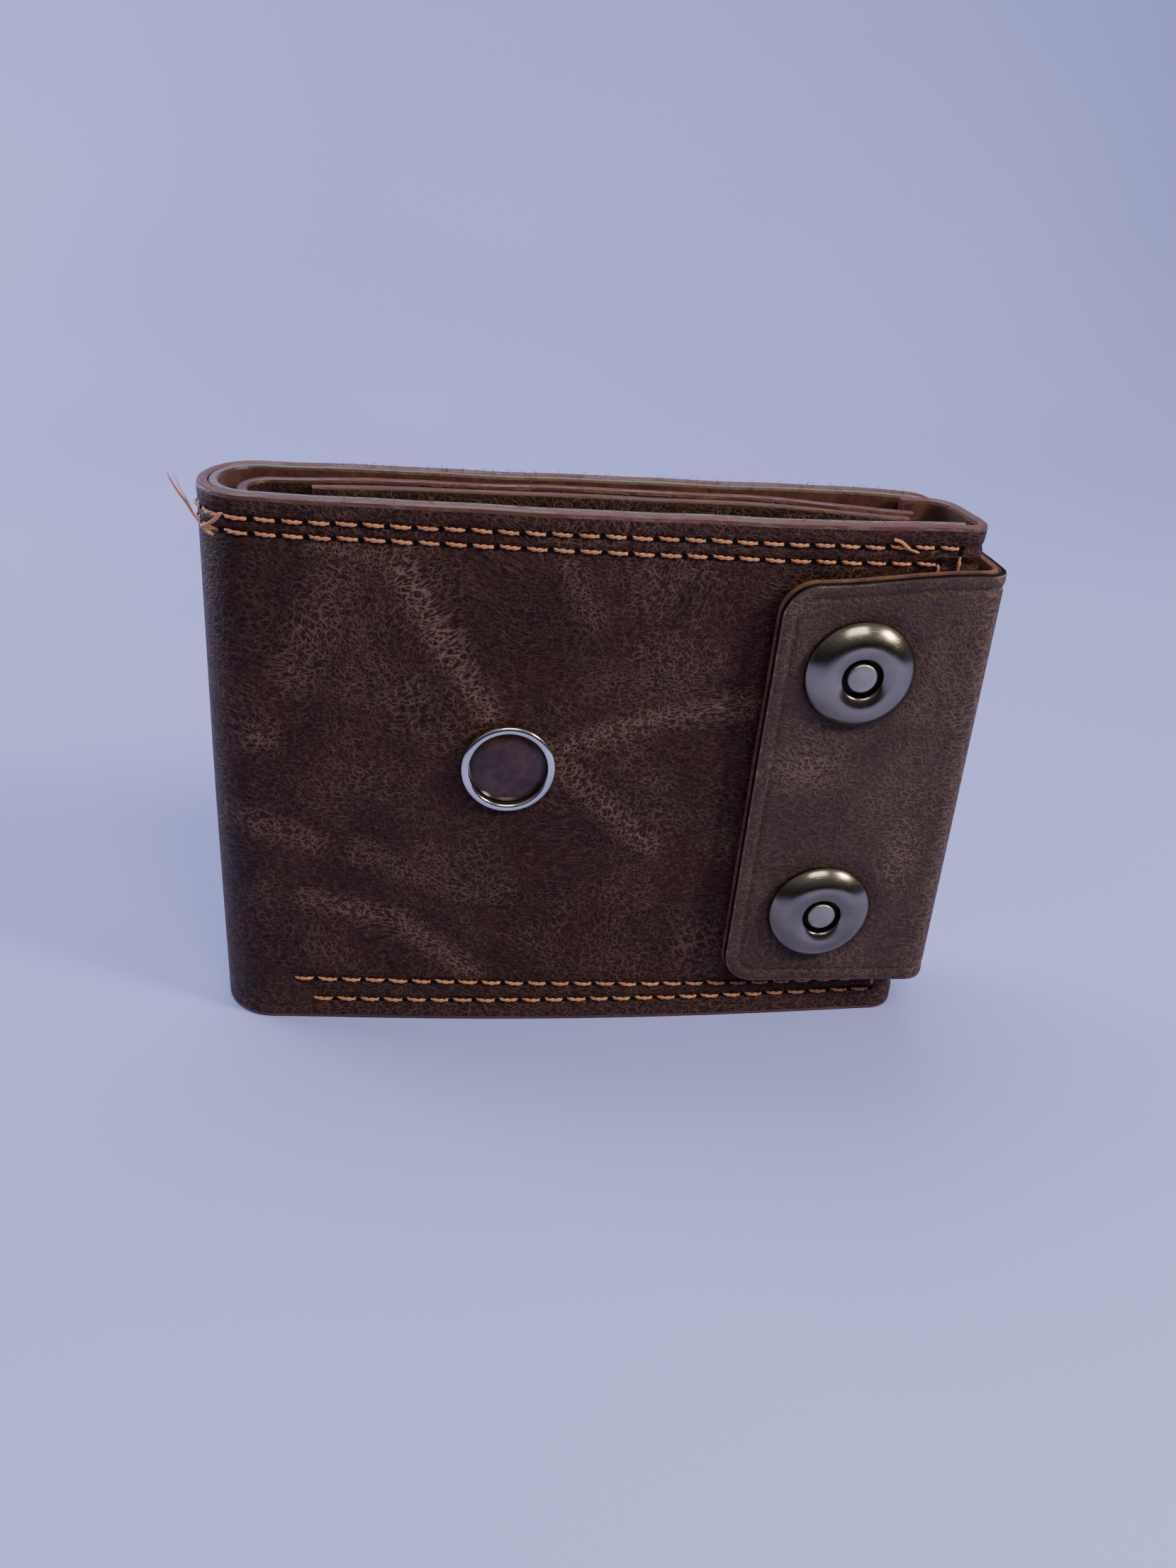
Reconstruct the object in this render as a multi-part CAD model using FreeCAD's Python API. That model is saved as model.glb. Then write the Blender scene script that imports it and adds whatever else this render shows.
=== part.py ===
"""Bifold leather wallet with a snap strap, closed and standing on its long bottom edge.

Millimetres, +Z up. Plan coordinates inside this file start at the outside of the fold (x = 0)
and at the chord of the front face (y = 0, back is +Y). Every shape is shifted on export, so that
the origin is the centre of the bounding box at its base.
"""
import FreeCAD, Part
import math
import os

Vector = FreeCAD.Vector

# ---- driving dimensions ----
BODY_LENGTH = 115.0          # fold to open end, without the strap
BODY_HEIGHT = 88.0
BODY_DEPTH = 17.0            # closed, at both ends
COVER = 1.7                  # outer leather
LINING = 1.3                 # suede lining leather glued inside the cover
PANEL = 1.6                  # inner panel that makes the note compartment
TOP_SLOT = 1.6               # the topmost card slot leaf has a doubled edge
SLOT = 0.6                   # the other card slot leaves
SLOT_GAP = 0.1
SLOT_LEFT = 16.0
SLOT_TO_PANEL_END = 1.0      # back slots stop this far inside the panel that carries them
SLOT_TO_OPEN_END = 8.0       # front slots stop this far inside the open end
BACK_SLOT_Z = ((40.0, 86.4), (26.0, 68.0), (2.0, 54.0))
FRONT_SLOT_Z = ((30.0, 86.2), (2.0, 60.0))
PANEL_EDGE_DROP = 1.0        # panels stay this far inside the top and bottom edges
PANEL_BACK_FACE = 10.8       # near faces of the two panels, behind y = 0
PANEL_FRONT_FACE = 3.2
PANEL_FOLD_DEPTH = 3.0       # the panel's strips run this far inside the fold's middle
PANEL_FRONT_GAP = 3.6        # end of the front panel to the open end
PANEL_BACK_GAP = 1.2         # end of the back panel to the wrapped flap
FRONT_BOW = 1.8              # how far the front cover bulges at mid length
SEGMENTS = 2                 # stiff strips of the fold, between its bend lines
BEND = 180.0 / (SEGMENTS + 1)  # turn at each bend line, degrees

STRAP_LEATHER = 1.2
STRAP_LINING = 1.0
STRAP_BOTTOM = 9.5
STRAP_TOP = 81.0
STRAP_CORNER = 5.5
STRAP_CLEARANCE = 0.4        # strap side to the open end of the body
LEAF_STAND_OFF = 2.4         # inside of the closed leaf in front of y = 0
LEAF_LEFT = 83.0
TAIL_LEFT = 84.0
TAIL_GAP = 0.1
CREASE = 1.3                 # leather kept free each side of a strap bend line

SNAP_X = 96.8
SNAP_HEIGHTS = {"upper": 65.8, "lower": 23.7}
CAP_RADIUS = 8.5
CAP_HEIGHT = 2.6
POST_RADIUS = 2.3
SHANK_RADIUS = 1.6
SHANK_CLEARANCE = 0.1
SOCKET_RADIUS = 6.0
SOCKET_BORE = 2.7
SOCKET_DEPTH = 1.1
SOCKET_FLOOR = 0.3
STUD_FLANGE = 4.5
STUD_RADIUS = 2.1
EYELET_FLANGE = 4.0
EYELET_RADIUS = 1.5
FLANGE = 0.4
SEAT = 0.2                   # room around a flange that is let into the leather
STUD_SINK = 0.45             # a stud flange is pressed this far into the cover
EYELET_SINK = 0.2
STUD_HEAD = 0.55
STUD_NECK_STEP = 0.3         # the neck of a stud is this much slimmer than its head
STUD_ROUND = 0.2
STUD_HEAD_ROOM = 0.2         # head of a stud to the floor of its socket
STUD_NECK_LAP = 0.15         # the neck starts this far above the underside of the head
CAP_EDGE = 0.4               # upright edge of a cap
CAP_CROWN_RADIUS = 5.3
CAP_RECESS = 0.8
CAP_RECESS_RADIUS = 3.2
POST_HEAD = 1.1
POST_ROUND = 0.35
SOCKET_LIP = 0.8             # rounded rim of a socket: width, height and the bulge of its arc
SOCKET_LIP_HEIGHT = 0.5
SOCKET_LIP_BULGE = (0.25, 0.12)

BADGE_X = 45.3
BADGE_Z = 48.2
BADGE_RADIUS = 7.2
BADGE_RIM = 1.3
BADGE_HEIGHT = 1.45
PRONG = (1.6, 0.6)
PRONG_OFFSET = 3.0
PRONG_ROOM = 0.1
PRONG_ROOT = 0.1             # a prong starts this far inside the disc
BADGE_SINK = 0.2
BADGE_RIM_CROWN = 0.5
DISC_GAP = 0.05
DISC_EDGE = 0.35
DISC_BUTTON = (1.6, 0.45)    # radius of the flat middle, and how far it lies below the rim
WASHER_RADIUS = 5.0
WASHER_SINK = 0.35

THREAD = 0.7                 # width of a stitched row
THREAD_PROUD = 0.25
THREAD_CLEAR = 0.03          # front rows stay this far off the cover
ROW_OUTER = 2.8              # outer row, in from the edge of the cover
ROW_INNER = 5.0
ROW_BOTTOM_OUTER = 4.3
ROW_BOTTOM_INNER = 7.3
ROW_BOTTOM_START = (14.4, 11.4)
SIDE_ROW_INSETS = (5.0, 8.0)
ROW_CORNER = 1.0             # side rows stop this far from the rows they meet
ROW_TO_TAIL = 1.0
TAIL_ROW_INSET = 3.0
TAIL_ROW_STOP = 6.0
TAIL_ROW_GAP = 0.3

# ---- derived places ----
COVER_TOTAL = COVER + LINING
NEUTRAL = COVER_TOTAL / 2.0
FOLD_RADIUS = BODY_DEPTH / 2.0
TANGENT_X = FOLD_RADIUS
NEUTRAL_RADIUS = FOLD_RADIUS - NEUTRAL
STRIP_RISE = sum(math.sin(math.radians(BEND * (strip + 1))) for strip in range(SEGMENTS))
STRIP = 2.0 * NEUTRAL_RADIUS / STRIP_RISE
HINGE_X = TANGENT_X - (math.pi * NEUTRAL_RADIUS - SEGMENTS * STRIP) / 2.0
STRIP_CLEARANCE = 0.12
TURN_RADIUS = 4.0            # corners of the front cover where it wraps round the open end
TURN_X = BODY_LENGTH - TURN_RADIUS
TURN_DEPTH = 13.0            # the wrapped end reaches this far back
TURN_FLAP = 4.2
TURN_GAP = 0.05              # flat front to the wrapped end
TURN_SKIN = COVER - 0.1
LINING_TURN_GAP = 0.3        # end of the front lining to the start of the wrap
BOW_MID = (TANGENT_X + TURN_X) / 2.0
BOW_HALF = (TURN_X - TANGENT_X) / 2.0
BOW_RADIUS = (BOW_HALF ** 2 + FRONT_BOW ** 2) / (2.0 * FRONT_BOW)

STRAP_TOTAL = STRAP_LEATHER + STRAP_LINING
SIDE_INNER = BODY_LENGTH + STRAP_CLEARANCE
SIDE_OUTER = SIDE_INNER + STRAP_TOTAL
LEAF_OUTER = -LEAF_STAND_OFF - STRAP_TOTAL
TAIL_INNER = BODY_DEPTH + TAIL_GAP
TAIL_OUTER = TAIL_INNER + STRAP_TOTAL
CREASE_X = (SIDE_INNER + SIDE_OUTER) / 2.0
CREASE_FRONT_Y = (LEAF_OUTER - LEAF_STAND_OFF) / 2.0
CREASE_BACK_Y = (TAIL_INNER + TAIL_OUTER) / 2.0
CAP_FRONT = LEAF_OUTER - CAP_HEIGHT
FOLD_TURN = math.radians(BEND)
LEATHER_INSET = (COVER - NEUTRAL) * math.tan(FOLD_TURN / 2.0) + STRIP_CLEARANCE
FOLD_REACH = (STRIP - LEATHER_INSET) * math.cos(FOLD_TURN)
FOLD_LEFT = HINGE_X - FOLD_REACH - (NEUTRAL + THREAD_PROUD) * math.sin(FOLD_TURN)

ORIGIN = Vector((FOLD_LEFT + SIDE_OUTER) / 2.0, (CAP_FRONT + TAIL_OUTER + THREAD_PROUD) / 2.0, 0.0)


# ---- shape helpers ----
def save(name, *shapes):
    """Writes one node, made of one or more separate solids, in the row's frame."""
    shape = shapes[0] if len(shapes) == 1 else Part.makeCompound(list(shapes))
    shape = shape.copy()
    shape.translate(-ORIGIN)
    for solid in shape.Solids:
        assert solid.isValid(), name
    shape.exportStep("parts/" + name + ".step")
    print(name, len(shape.Solids), "solids,", round(shape.Volume, 1), "mm3")


def box(x, y, z):
    """A box from three (low, high) pairs."""
    return Part.makeBox(x[1] - x[0], y[1] - y[0], z[1] - z[0], Vector(x[0], y[0], z[0]))


def bow(x):
    """How far the front cover bulges forward at x: a circular arc."""
    return math.sqrt(BOW_RADIUS ** 2 - (x - BOW_MID) ** 2) - BOW_RADIUS + FRONT_BOW


def bowed(x, depth, z):
    """A sheet of the front cover: it follows the bulge, between two depths behind the outer face."""
    mid = (x[0] + x[1]) / 2.0
    rows = []
    for y in depth:
        rows.append([Vector(px, y - bow(px), z[0]) for px in (x[0], mid, x[1])])
    near, far = rows
    edges = [
        Part.Arc(near[0], near[1], near[2]).toShape(),
        Part.makeLine(near[2], far[2]),
        Part.Arc(far[2], far[1], far[0]).toShape(),
        Part.makeLine(far[0], near[0]),
    ]
    return Part.Face(Part.Wire(edges)).extrude(Vector(0, 0, z[1] - z[0]))


def rounded_sheet(x, y, z, radius):
    """A flat sheet facing Y with round corners at its low-x end."""
    diagonal = radius * (1.0 - math.sqrt(0.5))
    low_y = y[0]

    def point(px, pz):
        return Vector(px, low_y, pz)

    edges = [
        Part.makeLine(point(x[1], z[0]), point(x[1], z[1])),
        Part.makeLine(point(x[1], z[1]), point(x[0] + radius, z[1])),
        Part.Arc(
            point(x[0] + radius, z[1]),
            point(x[0] + diagonal, z[1] - diagonal),
            point(x[0], z[1] - radius),
        ).toShape(),
        Part.makeLine(point(x[0], z[1] - radius), point(x[0], z[0] + radius)),
        Part.Arc(
            point(x[0], z[0] + radius),
            point(x[0] + diagonal, z[0] + diagonal),
            point(x[0] + radius, z[0]),
        ).toShape(),
        Part.makeLine(point(x[0] + radius, z[0]), point(x[1], z[0])),
    ]
    return Part.Face(Part.Wire(edges)).extrude(Vector(0, y[1] - y[0], 0))


def round_bar(x, z, radius, y):
    """A cylinder along Y between two depths."""
    return Part.makeCylinder(radius, y[1] - y[0], Vector(x, y[0], z), Vector(0, 1, 0))


def turned(x, z, profile):
    """Revolves a closed (radius, y) outline, given as edges, about the Y line through (x, z)."""
    face = Part.Face(Part.Wire(profile))
    solid = face.revolve(Vector(0, 0, 0), Vector(0, 1, 0), 360)
    solid.translate(Vector(x, 0, z))
    return solid


def line(a, b):
    return Part.makeLine(Vector(a[0], a[1], 0), Vector(b[0], b[1], 0))


def arc(a, b, c):
    return Part.Arc(Vector(a[0], a[1], 0), Vector(b[0], b[1], 0), Vector(c[0], c[1], 0)).toShape()


def crown_arc(crown, end):
    """An arc from the top of a crown, where it is level, to a lower point: (radius, y) plan points."""
    across = end[0] - crown[0]
    drop = abs(end[1] - crown[1])
    radius = (across ** 2 + drop ** 2) / (2.0 * drop)
    down = math.copysign(1.0, end[1] - crown[1])
    half = math.atan2(abs(across), radius - drop) / 2.0
    middle_x = crown[0] + math.copysign(radius * math.sin(half), across)
    middle_y = crown[1] + down * radius * (1.0 - math.cos(half))
    return arc(crown, (middle_x, middle_y), end)


# ---- the fold ----
def bend_lines():
    """Plan positions of the vertical bend lines, from the back half to the front half."""
    x = HINGE_X
    y = BODY_DEPTH - NEUTRAL
    points = [(x, y)]
    for strip in range(SEGMENTS):
        heading = math.radians(BEND * (strip + 1))
        x -= STRIP * math.cos(heading)
        y -= STRIP * math.sin(heading)
        points.append((x, y))
    return points


def strip_inset(depth):
    """How far a strip stops short of its bend lines, so that its inside corners stay apart."""
    return depth * math.tan(FOLD_TURN / 2.0) + STRIP_CLEARANCE


def strip_sheet(strip, inward, outward, z, inset):
    """One flat strip of the fold, from inward to outward of the line between two bend lines."""
    start = bend_lines()[strip]
    heading = math.radians(BEND * (strip + 1))
    along = Vector(-math.cos(heading), -math.sin(heading), 0)
    out = Vector(-math.sin(heading), math.cos(heading), 0)
    corner = Vector(start[0], start[1], z[0])
    points = []
    for distance, offset in (
        (inset, -inward),
        (STRIP - inset, -inward),
        (STRIP - inset, outward),
        (inset, outward),
    ):
        points.append(corner + along * distance + out * offset)
    face = Part.Face(Part.makePolygon(points + [points[0]]))
    return face.extrude(Vector(0, 0, z[1] - z[0]))


FULL = (0.0, BODY_HEIGHT)
PANEL_Z = (PANEL_EDGE_DROP, BODY_HEIGHT - PANEL_EDGE_DROP)
LEATHER_INWARD = COVER - NEUTRAL
PANEL_FOLD_FAR = PANEL_FOLD_DEPTH + PANEL
LINING_INSET = strip_inset(NEUTRAL)
PANEL_INSET = strip_inset(PANEL_FOLD_FAR)


def row_z(middle):
    """Height range of a row of thread along this height."""
    return (middle - THREAD / 2.0, middle + THREAD / 2.0)


def top_row_z(distance):
    """Height range of a top row that runs this far below the top edge."""
    return row_z(BODY_HEIGHT - distance)


def build_fold():
    for strip in range(SEGMENTS):
        number = str(strip + 1)
        leather = strip_sheet(strip, LEATHER_INWARD, NEUTRAL, FULL, LEATHER_INSET)
        save("cover_fold_" + number, leather)
        lining = strip_sheet(strip, NEUTRAL, -LEATHER_INWARD, FULL, LINING_INSET)
        save("lining_fold_" + number, lining)
        panel = strip_sheet(strip, PANEL_FOLD_FAR, -PANEL_FOLD_DEPTH, PANEL_Z, PANEL_INSET)
        save("note_panel_fold_" + number, panel)
        rows = []
        for distance in (ROW_OUTER, ROW_INNER):
            height = top_row_z(distance)
            rows.append(strip_sheet(strip, -NEUTRAL, NEUTRAL + THREAD_PROUD, height, LEATHER_INSET))
        save("stitching_fold_" + number, *rows)


# ---- back half ----
SIDE_ROW_X = tuple(BODY_LENGTH - inset for inset in SIDE_ROW_INSETS)
PANEL_BACK_Y = (PANEL_BACK_FACE, PANEL_BACK_FACE + PANEL)
PANEL_FRONT_Y = (PANEL_FRONT_FACE, PANEL_FRONT_FACE + PANEL)
PANEL_FRONT_END = BODY_LENGTH - PANEL_FRONT_GAP
PANEL_BACK_END = TURN_X - TURN_FLAP - PANEL_BACK_GAP
BACK_SLOT_X = (SLOT_LEFT, PANEL_BACK_END - SLOT_TO_PANEL_END)
FRONT_SLOT_X = (SLOT_LEFT, BODY_LENGTH - SLOT_TO_OPEN_END)


def back_rows():
    """Rows sewn along the top, the open end and the bottom of the back cover."""
    y = (BODY_DEPTH, BODY_DEPTH + THREAD_PROUD)
    start = HINGE_X + LEATHER_INSET
    end = TAIL_LEFT - ROW_TO_TAIL
    top = []
    bottom = []
    for distance in (ROW_OUTER, ROW_INNER):
        top.append(box((start, SIDE_ROW_X[0]), y, top_row_z(distance)))
    for middle, left in zip((ROW_BOTTOM_OUTER, ROW_BOTTOM_INNER), ROW_BOTTOM_START):
        bottom.append(box((left, end), y, row_z(middle)))
    return top, bottom


def build_back_half():
    start = HINGE_X + LEATHER_INSET
    cover = box((start, BODY_LENGTH), (BODY_DEPTH - COVER, BODY_DEPTH), FULL)
    save("cover_back", cover)
    lining_x = (HINGE_X + LINING_INSET, BODY_LENGTH)
    save("lining_back", box(lining_x, (BODY_DEPTH - COVER_TOTAL, BODY_DEPTH - COVER), FULL))
    save("note_panel_back", box((HINGE_X + PANEL_INSET, PANEL_BACK_END), PANEL_BACK_Y, PANEL_Z))
    face = PANEL_BACK_Y[0]
    for index, z in enumerate(BACK_SLOT_Z):
        leaf = TOP_SLOT if index == 0 else SLOT
        face -= SLOT_GAP
        save("card_slot_back_" + str(index + 1), box(BACK_SLOT_X, (face - leaf, face), z))
        face -= leaf
    top, bottom = back_rows()
    save("stitching_back_top", *top)
    save("stitching_back_bottom", *bottom)


# ---- front half ----
def stud_y():
    """Outer face of the front cover where the snap studs sit."""
    return -bow(SNAP_X)


STUD_SEAT_Y = stud_y() + STUD_SINK
EYELET_SEAT_Y = stud_y() + COVER_TOTAL - EYELET_SINK
BADGE_SEAT_Y = -bow(BADGE_X) + BADGE_SINK
WASHER_SEAT_Y = -bow(BADGE_X) + COVER_TOTAL - WASHER_SINK
FAR_FRONT = -5.0             # cutters reach from here to there, through all the leather
FAR_BACK = 5.0


def prong_slots(room, y):
    """The two prongs of the badge, or the slots for them when room is added."""
    shapes = []
    half_x = PRONG[0] / 2.0 + room
    half_z = PRONG[1] / 2.0 + room
    for side in (-1.0, 1.0):
        z = BADGE_Z + side * PRONG_OFFSET
        shapes.append(box((BADGE_X - half_x, BADGE_X + half_x), y, (z - half_z, z + half_z)))
    return shapes


def build_front_cover():
    cover = bowed((HINGE_X + LEATHER_INSET, TURN_X), (0.0, COVER), FULL)
    lining = bowed((HINGE_X + LINING_INSET, TURN_X - LINING_TURN_GAP), (COVER, COVER_TOTAL), FULL)
    for z in SNAP_HEIGHTS.values():
        seat = round_bar(SNAP_X, z, STUD_FLANGE + SEAT, (FAR_FRONT, STUD_SEAT_Y))
        hole = round_bar(SNAP_X, z, EYELET_RADIUS + SHANK_CLEARANCE, (FAR_FRONT, FAR_BACK))
        back_seat = round_bar(SNAP_X, z, EYELET_FLANGE + SEAT, (EYELET_SEAT_Y, FAR_BACK))
        cover = cover.cut(seat).cut(hole)
        lining = lining.cut(hole).cut(back_seat)
    cover = cover.cut(round_bar(BADGE_X, BADGE_Z, BADGE_RADIUS + SEAT / 2.0, (FAR_FRONT, BADGE_SEAT_Y)))
    lining = lining.cut(round_bar(BADGE_X, BADGE_Z, WASHER_RADIUS + SEAT, (WASHER_SEAT_Y, FAR_BACK)))
    for slot in prong_slots(SEAT, (FAR_FRONT, FAR_BACK)):
        cover = cover.cut(slot)
        lining = lining.cut(slot)
    save("cover_front", cover)
    save("lining_front", lining)


def build_turned_edge():
    """The cover leather wraps round the open end and stops as a short flap behind the pockets."""
    start = TURN_X + TURN_GAP
    flap_left = TURN_X - TURN_FLAP
    inner = TURN_RADIUS - TURN_SKIN
    diagonal = math.sqrt(0.5)
    near = TURN_RADIUS
    far = TURN_DEPTH - TURN_RADIUS

    def point(px, py):
        return Vector(px, py, 0)

    def corner(radius, y, side):
        """The quarter turn at one corner, on the outer or the inner face."""
        return Part.Arc(
            point(start, y + side * radius),
            point(start + radius * diagonal, y + side * radius * diagonal),
            point(start + radius, y),
        ).toShape()

    outer = TURN_RADIUS - TURN_GAP
    edges = [
        Part.makeLine(point(start, near - inner), point(start, near - outer)),
        corner(outer, near, -1.0),
        Part.makeLine(point(start + outer, near), point(start + outer, far)),
        corner(outer, far, 1.0),
        Part.makeLine(point(start, far + outer), point(flap_left, far + outer)),
        Part.makeLine(point(flap_left, far + outer), point(flap_left, far + inner)),
        Part.makeLine(point(flap_left, far + inner), point(start, far + inner)),
        corner(inner, far, 1.0),
        Part.makeLine(point(start + inner, far), point(start + inner, near)),
        corner(inner, near, -1.0),
    ]
    face = Part.Face(Part.Wire(Part.__sortEdges__(edges)))
    save("cover_turned_edge", face.extrude(Vector(0, 0, BODY_HEIGHT)))


def build_front_panels():
    save("note_panel_front", box((HINGE_X + PANEL_INSET, PANEL_FRONT_END), PANEL_FRONT_Y, PANEL_Z))
    face = PANEL_FRONT_Y[1]
    for index, z in enumerate(FRONT_SLOT_Z):
        leaf = TOP_SLOT if index == 0 else SLOT
        face += SLOT_GAP
        save("card_slot_front_" + str(index + 1), box(FRONT_SLOT_X, (face, face + leaf), z))
        face += leaf


def build_front_rows():
    proud = (-THREAD_PROUD, -THREAD_CLEAR)
    start = HINGE_X + LEATHER_INSET
    tops = []
    sides = []
    bottoms = []
    distances = (ROW_OUTER, ROW_INNER)
    heights = (ROW_BOTTOM_OUTER, ROW_BOTTOM_INNER)
    for distance, height, side, left in zip(distances, heights, SIDE_ROW_X, ROW_BOTTOM_START):
        half = THREAD / 2.0
        between = (height + ROW_CORNER, BODY_HEIGHT - distance - ROW_CORNER)
        tops.append(bowed((start, side + half), proud, top_row_z(distance)))
        sides.append(bowed((side - half, side + half), proud, between))
        bottoms.append(bowed((left, side + half), proud, row_z(height)))
    save("stitching_front_top", *tops)
    save("stitching_front_side", *sides)
    save("stitching_front_bottom", *bottoms)


def build_studs():
    for place, z in SNAP_HEIGHTS.items():
        flange = round_bar(SNAP_X, z, STUD_FLANGE, (STUD_SEAT_Y - FLANGE, STUD_SEAT_Y))
        top = STUD_SEAT_Y - FLANGE
        tip = -LEAF_STAND_OFF + SOCKET_FLOOR + STUD_HEAD_ROOM
        under = tip + STUD_HEAD
        neck = round_bar(SNAP_X, z, STUD_RADIUS - STUD_NECK_STEP, (under - STUD_NECK_LAP, top))
        head = round_bar(SNAP_X, z, STUD_RADIUS, (tip, under))
        head = head.makeFillet(STUD_ROUND, [head.Edges[0], head.Edges[2]])
        save("snap_stud_" + place, flange.fuse([neck, head]).removeSplitter())
        shank = round_bar(SNAP_X, z, EYELET_RADIUS, (STUD_SEAT_Y, EYELET_SEAT_Y + FLANGE))
        rim = round_bar(SNAP_X, z, EYELET_FLANGE, (EYELET_SEAT_Y, EYELET_SEAT_Y + FLANGE))
        save("snap_eyelet_" + place, shank.fuse(rim).removeSplitter())


def build_badge():
    """A plain round ornament: a rim, and a domed disc held by two prongs through a washer."""
    front = BADGE_SEAT_Y - BADGE_HEIGHT
    inner = BADGE_RADIUS - BADGE_RIM
    shoulder = front + BADGE_RIM_CROWN
    rim = turned(
        BADGE_X,
        BADGE_Z,
        [
            line((inner, BADGE_SEAT_Y), (BADGE_RADIUS, BADGE_SEAT_Y)),
            line((BADGE_RADIUS, BADGE_SEAT_Y), (BADGE_RADIUS, shoulder)),
            arc((BADGE_RADIUS, shoulder), (BADGE_RADIUS - BADGE_RIM / 2.0, front), (inner, shoulder)),
            line((inner, shoulder), (inner, BADGE_SEAT_Y)),
        ],
    )
    save("badge_rim", rim)
    edge = (inner - DISC_GAP, BADGE_SEAT_Y - DISC_EDGE)
    button = (DISC_BUTTON[0], front + DISC_BUTTON[1])
    dome = turned(
        BADGE_X,
        BADGE_Z,
        [
            line((0.0, BADGE_SEAT_Y), (edge[0], BADGE_SEAT_Y)),
            line((edge[0], BADGE_SEAT_Y), edge),
            crown_arc(button, edge),
            line(button, (0.0, button[1])),
            line((0.0, button[1]), (0.0, BADGE_SEAT_Y)),
        ],
    )
    prongs = prong_slots(0.0, (BADGE_SEAT_Y - PRONG_ROOT, WASHER_SEAT_Y + FLANGE))
    save("badge_disc", dome.fuse(prongs).removeSplitter())
    washer = round_bar(BADGE_X, BADGE_Z, WASHER_RADIUS, (WASHER_SEAT_Y, WASHER_SEAT_Y + FLANGE))
    for slot in prong_slots(PRONG_ROOM, (FAR_FRONT, FAR_BACK)):
        washer = washer.cut(slot)
    save("badge_washer", washer)


# ---- strap ----
STRAP_Z = (STRAP_BOTTOM, STRAP_TOP)


def build_strap_tail():
    right = CREASE_X - CREASE
    middle = TAIL_OUTER - STRAP_LEATHER
    save(
        "strap_tail_lining",
        rounded_sheet((TAIL_LEFT, right), (TAIL_INNER, middle), STRAP_Z, STRAP_CORNER),
    )
    save(
        "strap_tail_leather",
        rounded_sheet((TAIL_LEFT, right), (middle, TAIL_OUTER), STRAP_Z, STRAP_CORNER),
    )
    y = (TAIL_OUTER, TAIL_OUTER + THREAD_PROUD)
    left = TAIL_LEFT + TAIL_ROW_INSET
    stop = right - TAIL_ROW_STOP
    low = STRAP_BOTTOM + TAIL_ROW_INSET
    high = STRAP_TOP - TAIL_ROW_INSET
    across = (left + THREAD + TAIL_ROW_GAP, stop - THREAD - TAIL_ROW_GAP)
    bars = [
        box((left, left + THREAD), y, (low, high)),
        box((stop - THREAD, stop), y, (low, high)),
        box(across, y, (high - THREAD, high)),
        box(across, y, (low, low + THREAD)),
    ]
    save("stitching_tail", *bars)


def build_strap_side():
    y = (CREASE_FRONT_Y + CREASE, CREASE_BACK_Y - CREASE)
    middle = SIDE_INNER + STRAP_LINING
    save("strap_side_lining", box((SIDE_INNER, middle), y, STRAP_Z))
    save("strap_side_leather", box((middle, SIDE_OUTER), y, STRAP_Z))


def build_strap_leaf():
    right = CREASE_X - CREASE
    middle = LEAF_OUTER + STRAP_LEATHER
    leather = rounded_sheet((LEAF_LEFT, right), (LEAF_OUTER, middle), STRAP_Z, STRAP_CORNER)
    lining = rounded_sheet((LEAF_LEFT, right), (middle, -LEAF_STAND_OFF), STRAP_Z, STRAP_CORNER)
    for z in SNAP_HEIGHTS.values():
        hole = round_bar(SNAP_X, z, SHANK_RADIUS + SHANK_CLEARANCE, (FAR_FRONT, 0.0))
        leather = leather.cut(hole)
        lining = lining.cut(hole)
    save("strap_leaf_leather", leather)
    save("strap_leaf_lining", lining)


def build_snap_heads():
    """Cap, post and socket of each snap, all carried by the leaf."""
    recess = LEAF_OUTER - CAP_RECESS
    bore = SHANK_RADIUS + SHANK_CLEARANCE
    crown = (CAP_CROWN_RADIUS, CAP_FRONT)
    edge = LEAF_OUTER - CAP_EDGE
    floor = -LEAF_STAND_OFF + SOCKET_FLOOR
    mouth = -LEAF_STAND_OFF + SOCKET_DEPTH
    lip = (SOCKET_RADIUS, mouth - SOCKET_LIP_HEIGHT)
    lip_middle = (SOCKET_RADIUS - SOCKET_LIP_BULGE[0], mouth - SOCKET_LIP_BULGE[1])
    lip_end = (SOCKET_RADIUS - SOCKET_LIP, mouth)
    for place, z in SNAP_HEIGHTS.items():
        cap = turned(
            SNAP_X,
            z,
            [
                line((bore, LEAF_OUTER), (CAP_RADIUS, LEAF_OUTER)),
                line((CAP_RADIUS, LEAF_OUTER), (CAP_RADIUS, edge)),
                crown_arc(crown, (CAP_RADIUS, edge)),
                crown_arc(crown, (CAP_RECESS_RADIUS, recess)),
                line((CAP_RECESS_RADIUS, recess), (bore, recess)),
                line((bore, recess), (bore, LEAF_OUTER)),
            ],
        )
        save("snap_cap_" + place, cap)
        head = round_bar(SNAP_X, z, POST_RADIUS, (recess - POST_HEAD, recess))
        head = head.makeFillet(POST_ROUND, [head.Edges[2]])
        shank = round_bar(SNAP_X, z, SHANK_RADIUS, (recess, floor))
        save("snap_post_" + place, head.fuse(shank).removeSplitter())
        socket = turned(
            SNAP_X,
            z,
            [
                line((bore, -LEAF_STAND_OFF), (SOCKET_RADIUS, -LEAF_STAND_OFF)),
                line((SOCKET_RADIUS, -LEAF_STAND_OFF), lip),
                arc(lip, lip_middle, lip_end),
                line(lip_end, (SOCKET_BORE, mouth)),
                line((SOCKET_BORE, mouth), (SOCKET_BORE, floor)),
                line((SOCKET_BORE, floor), (bore, floor)),
                line((bore, floor), (bore, -LEAF_STAND_OFF)),
            ],
        )
        save("snap_socket_" + place, socket)


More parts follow.
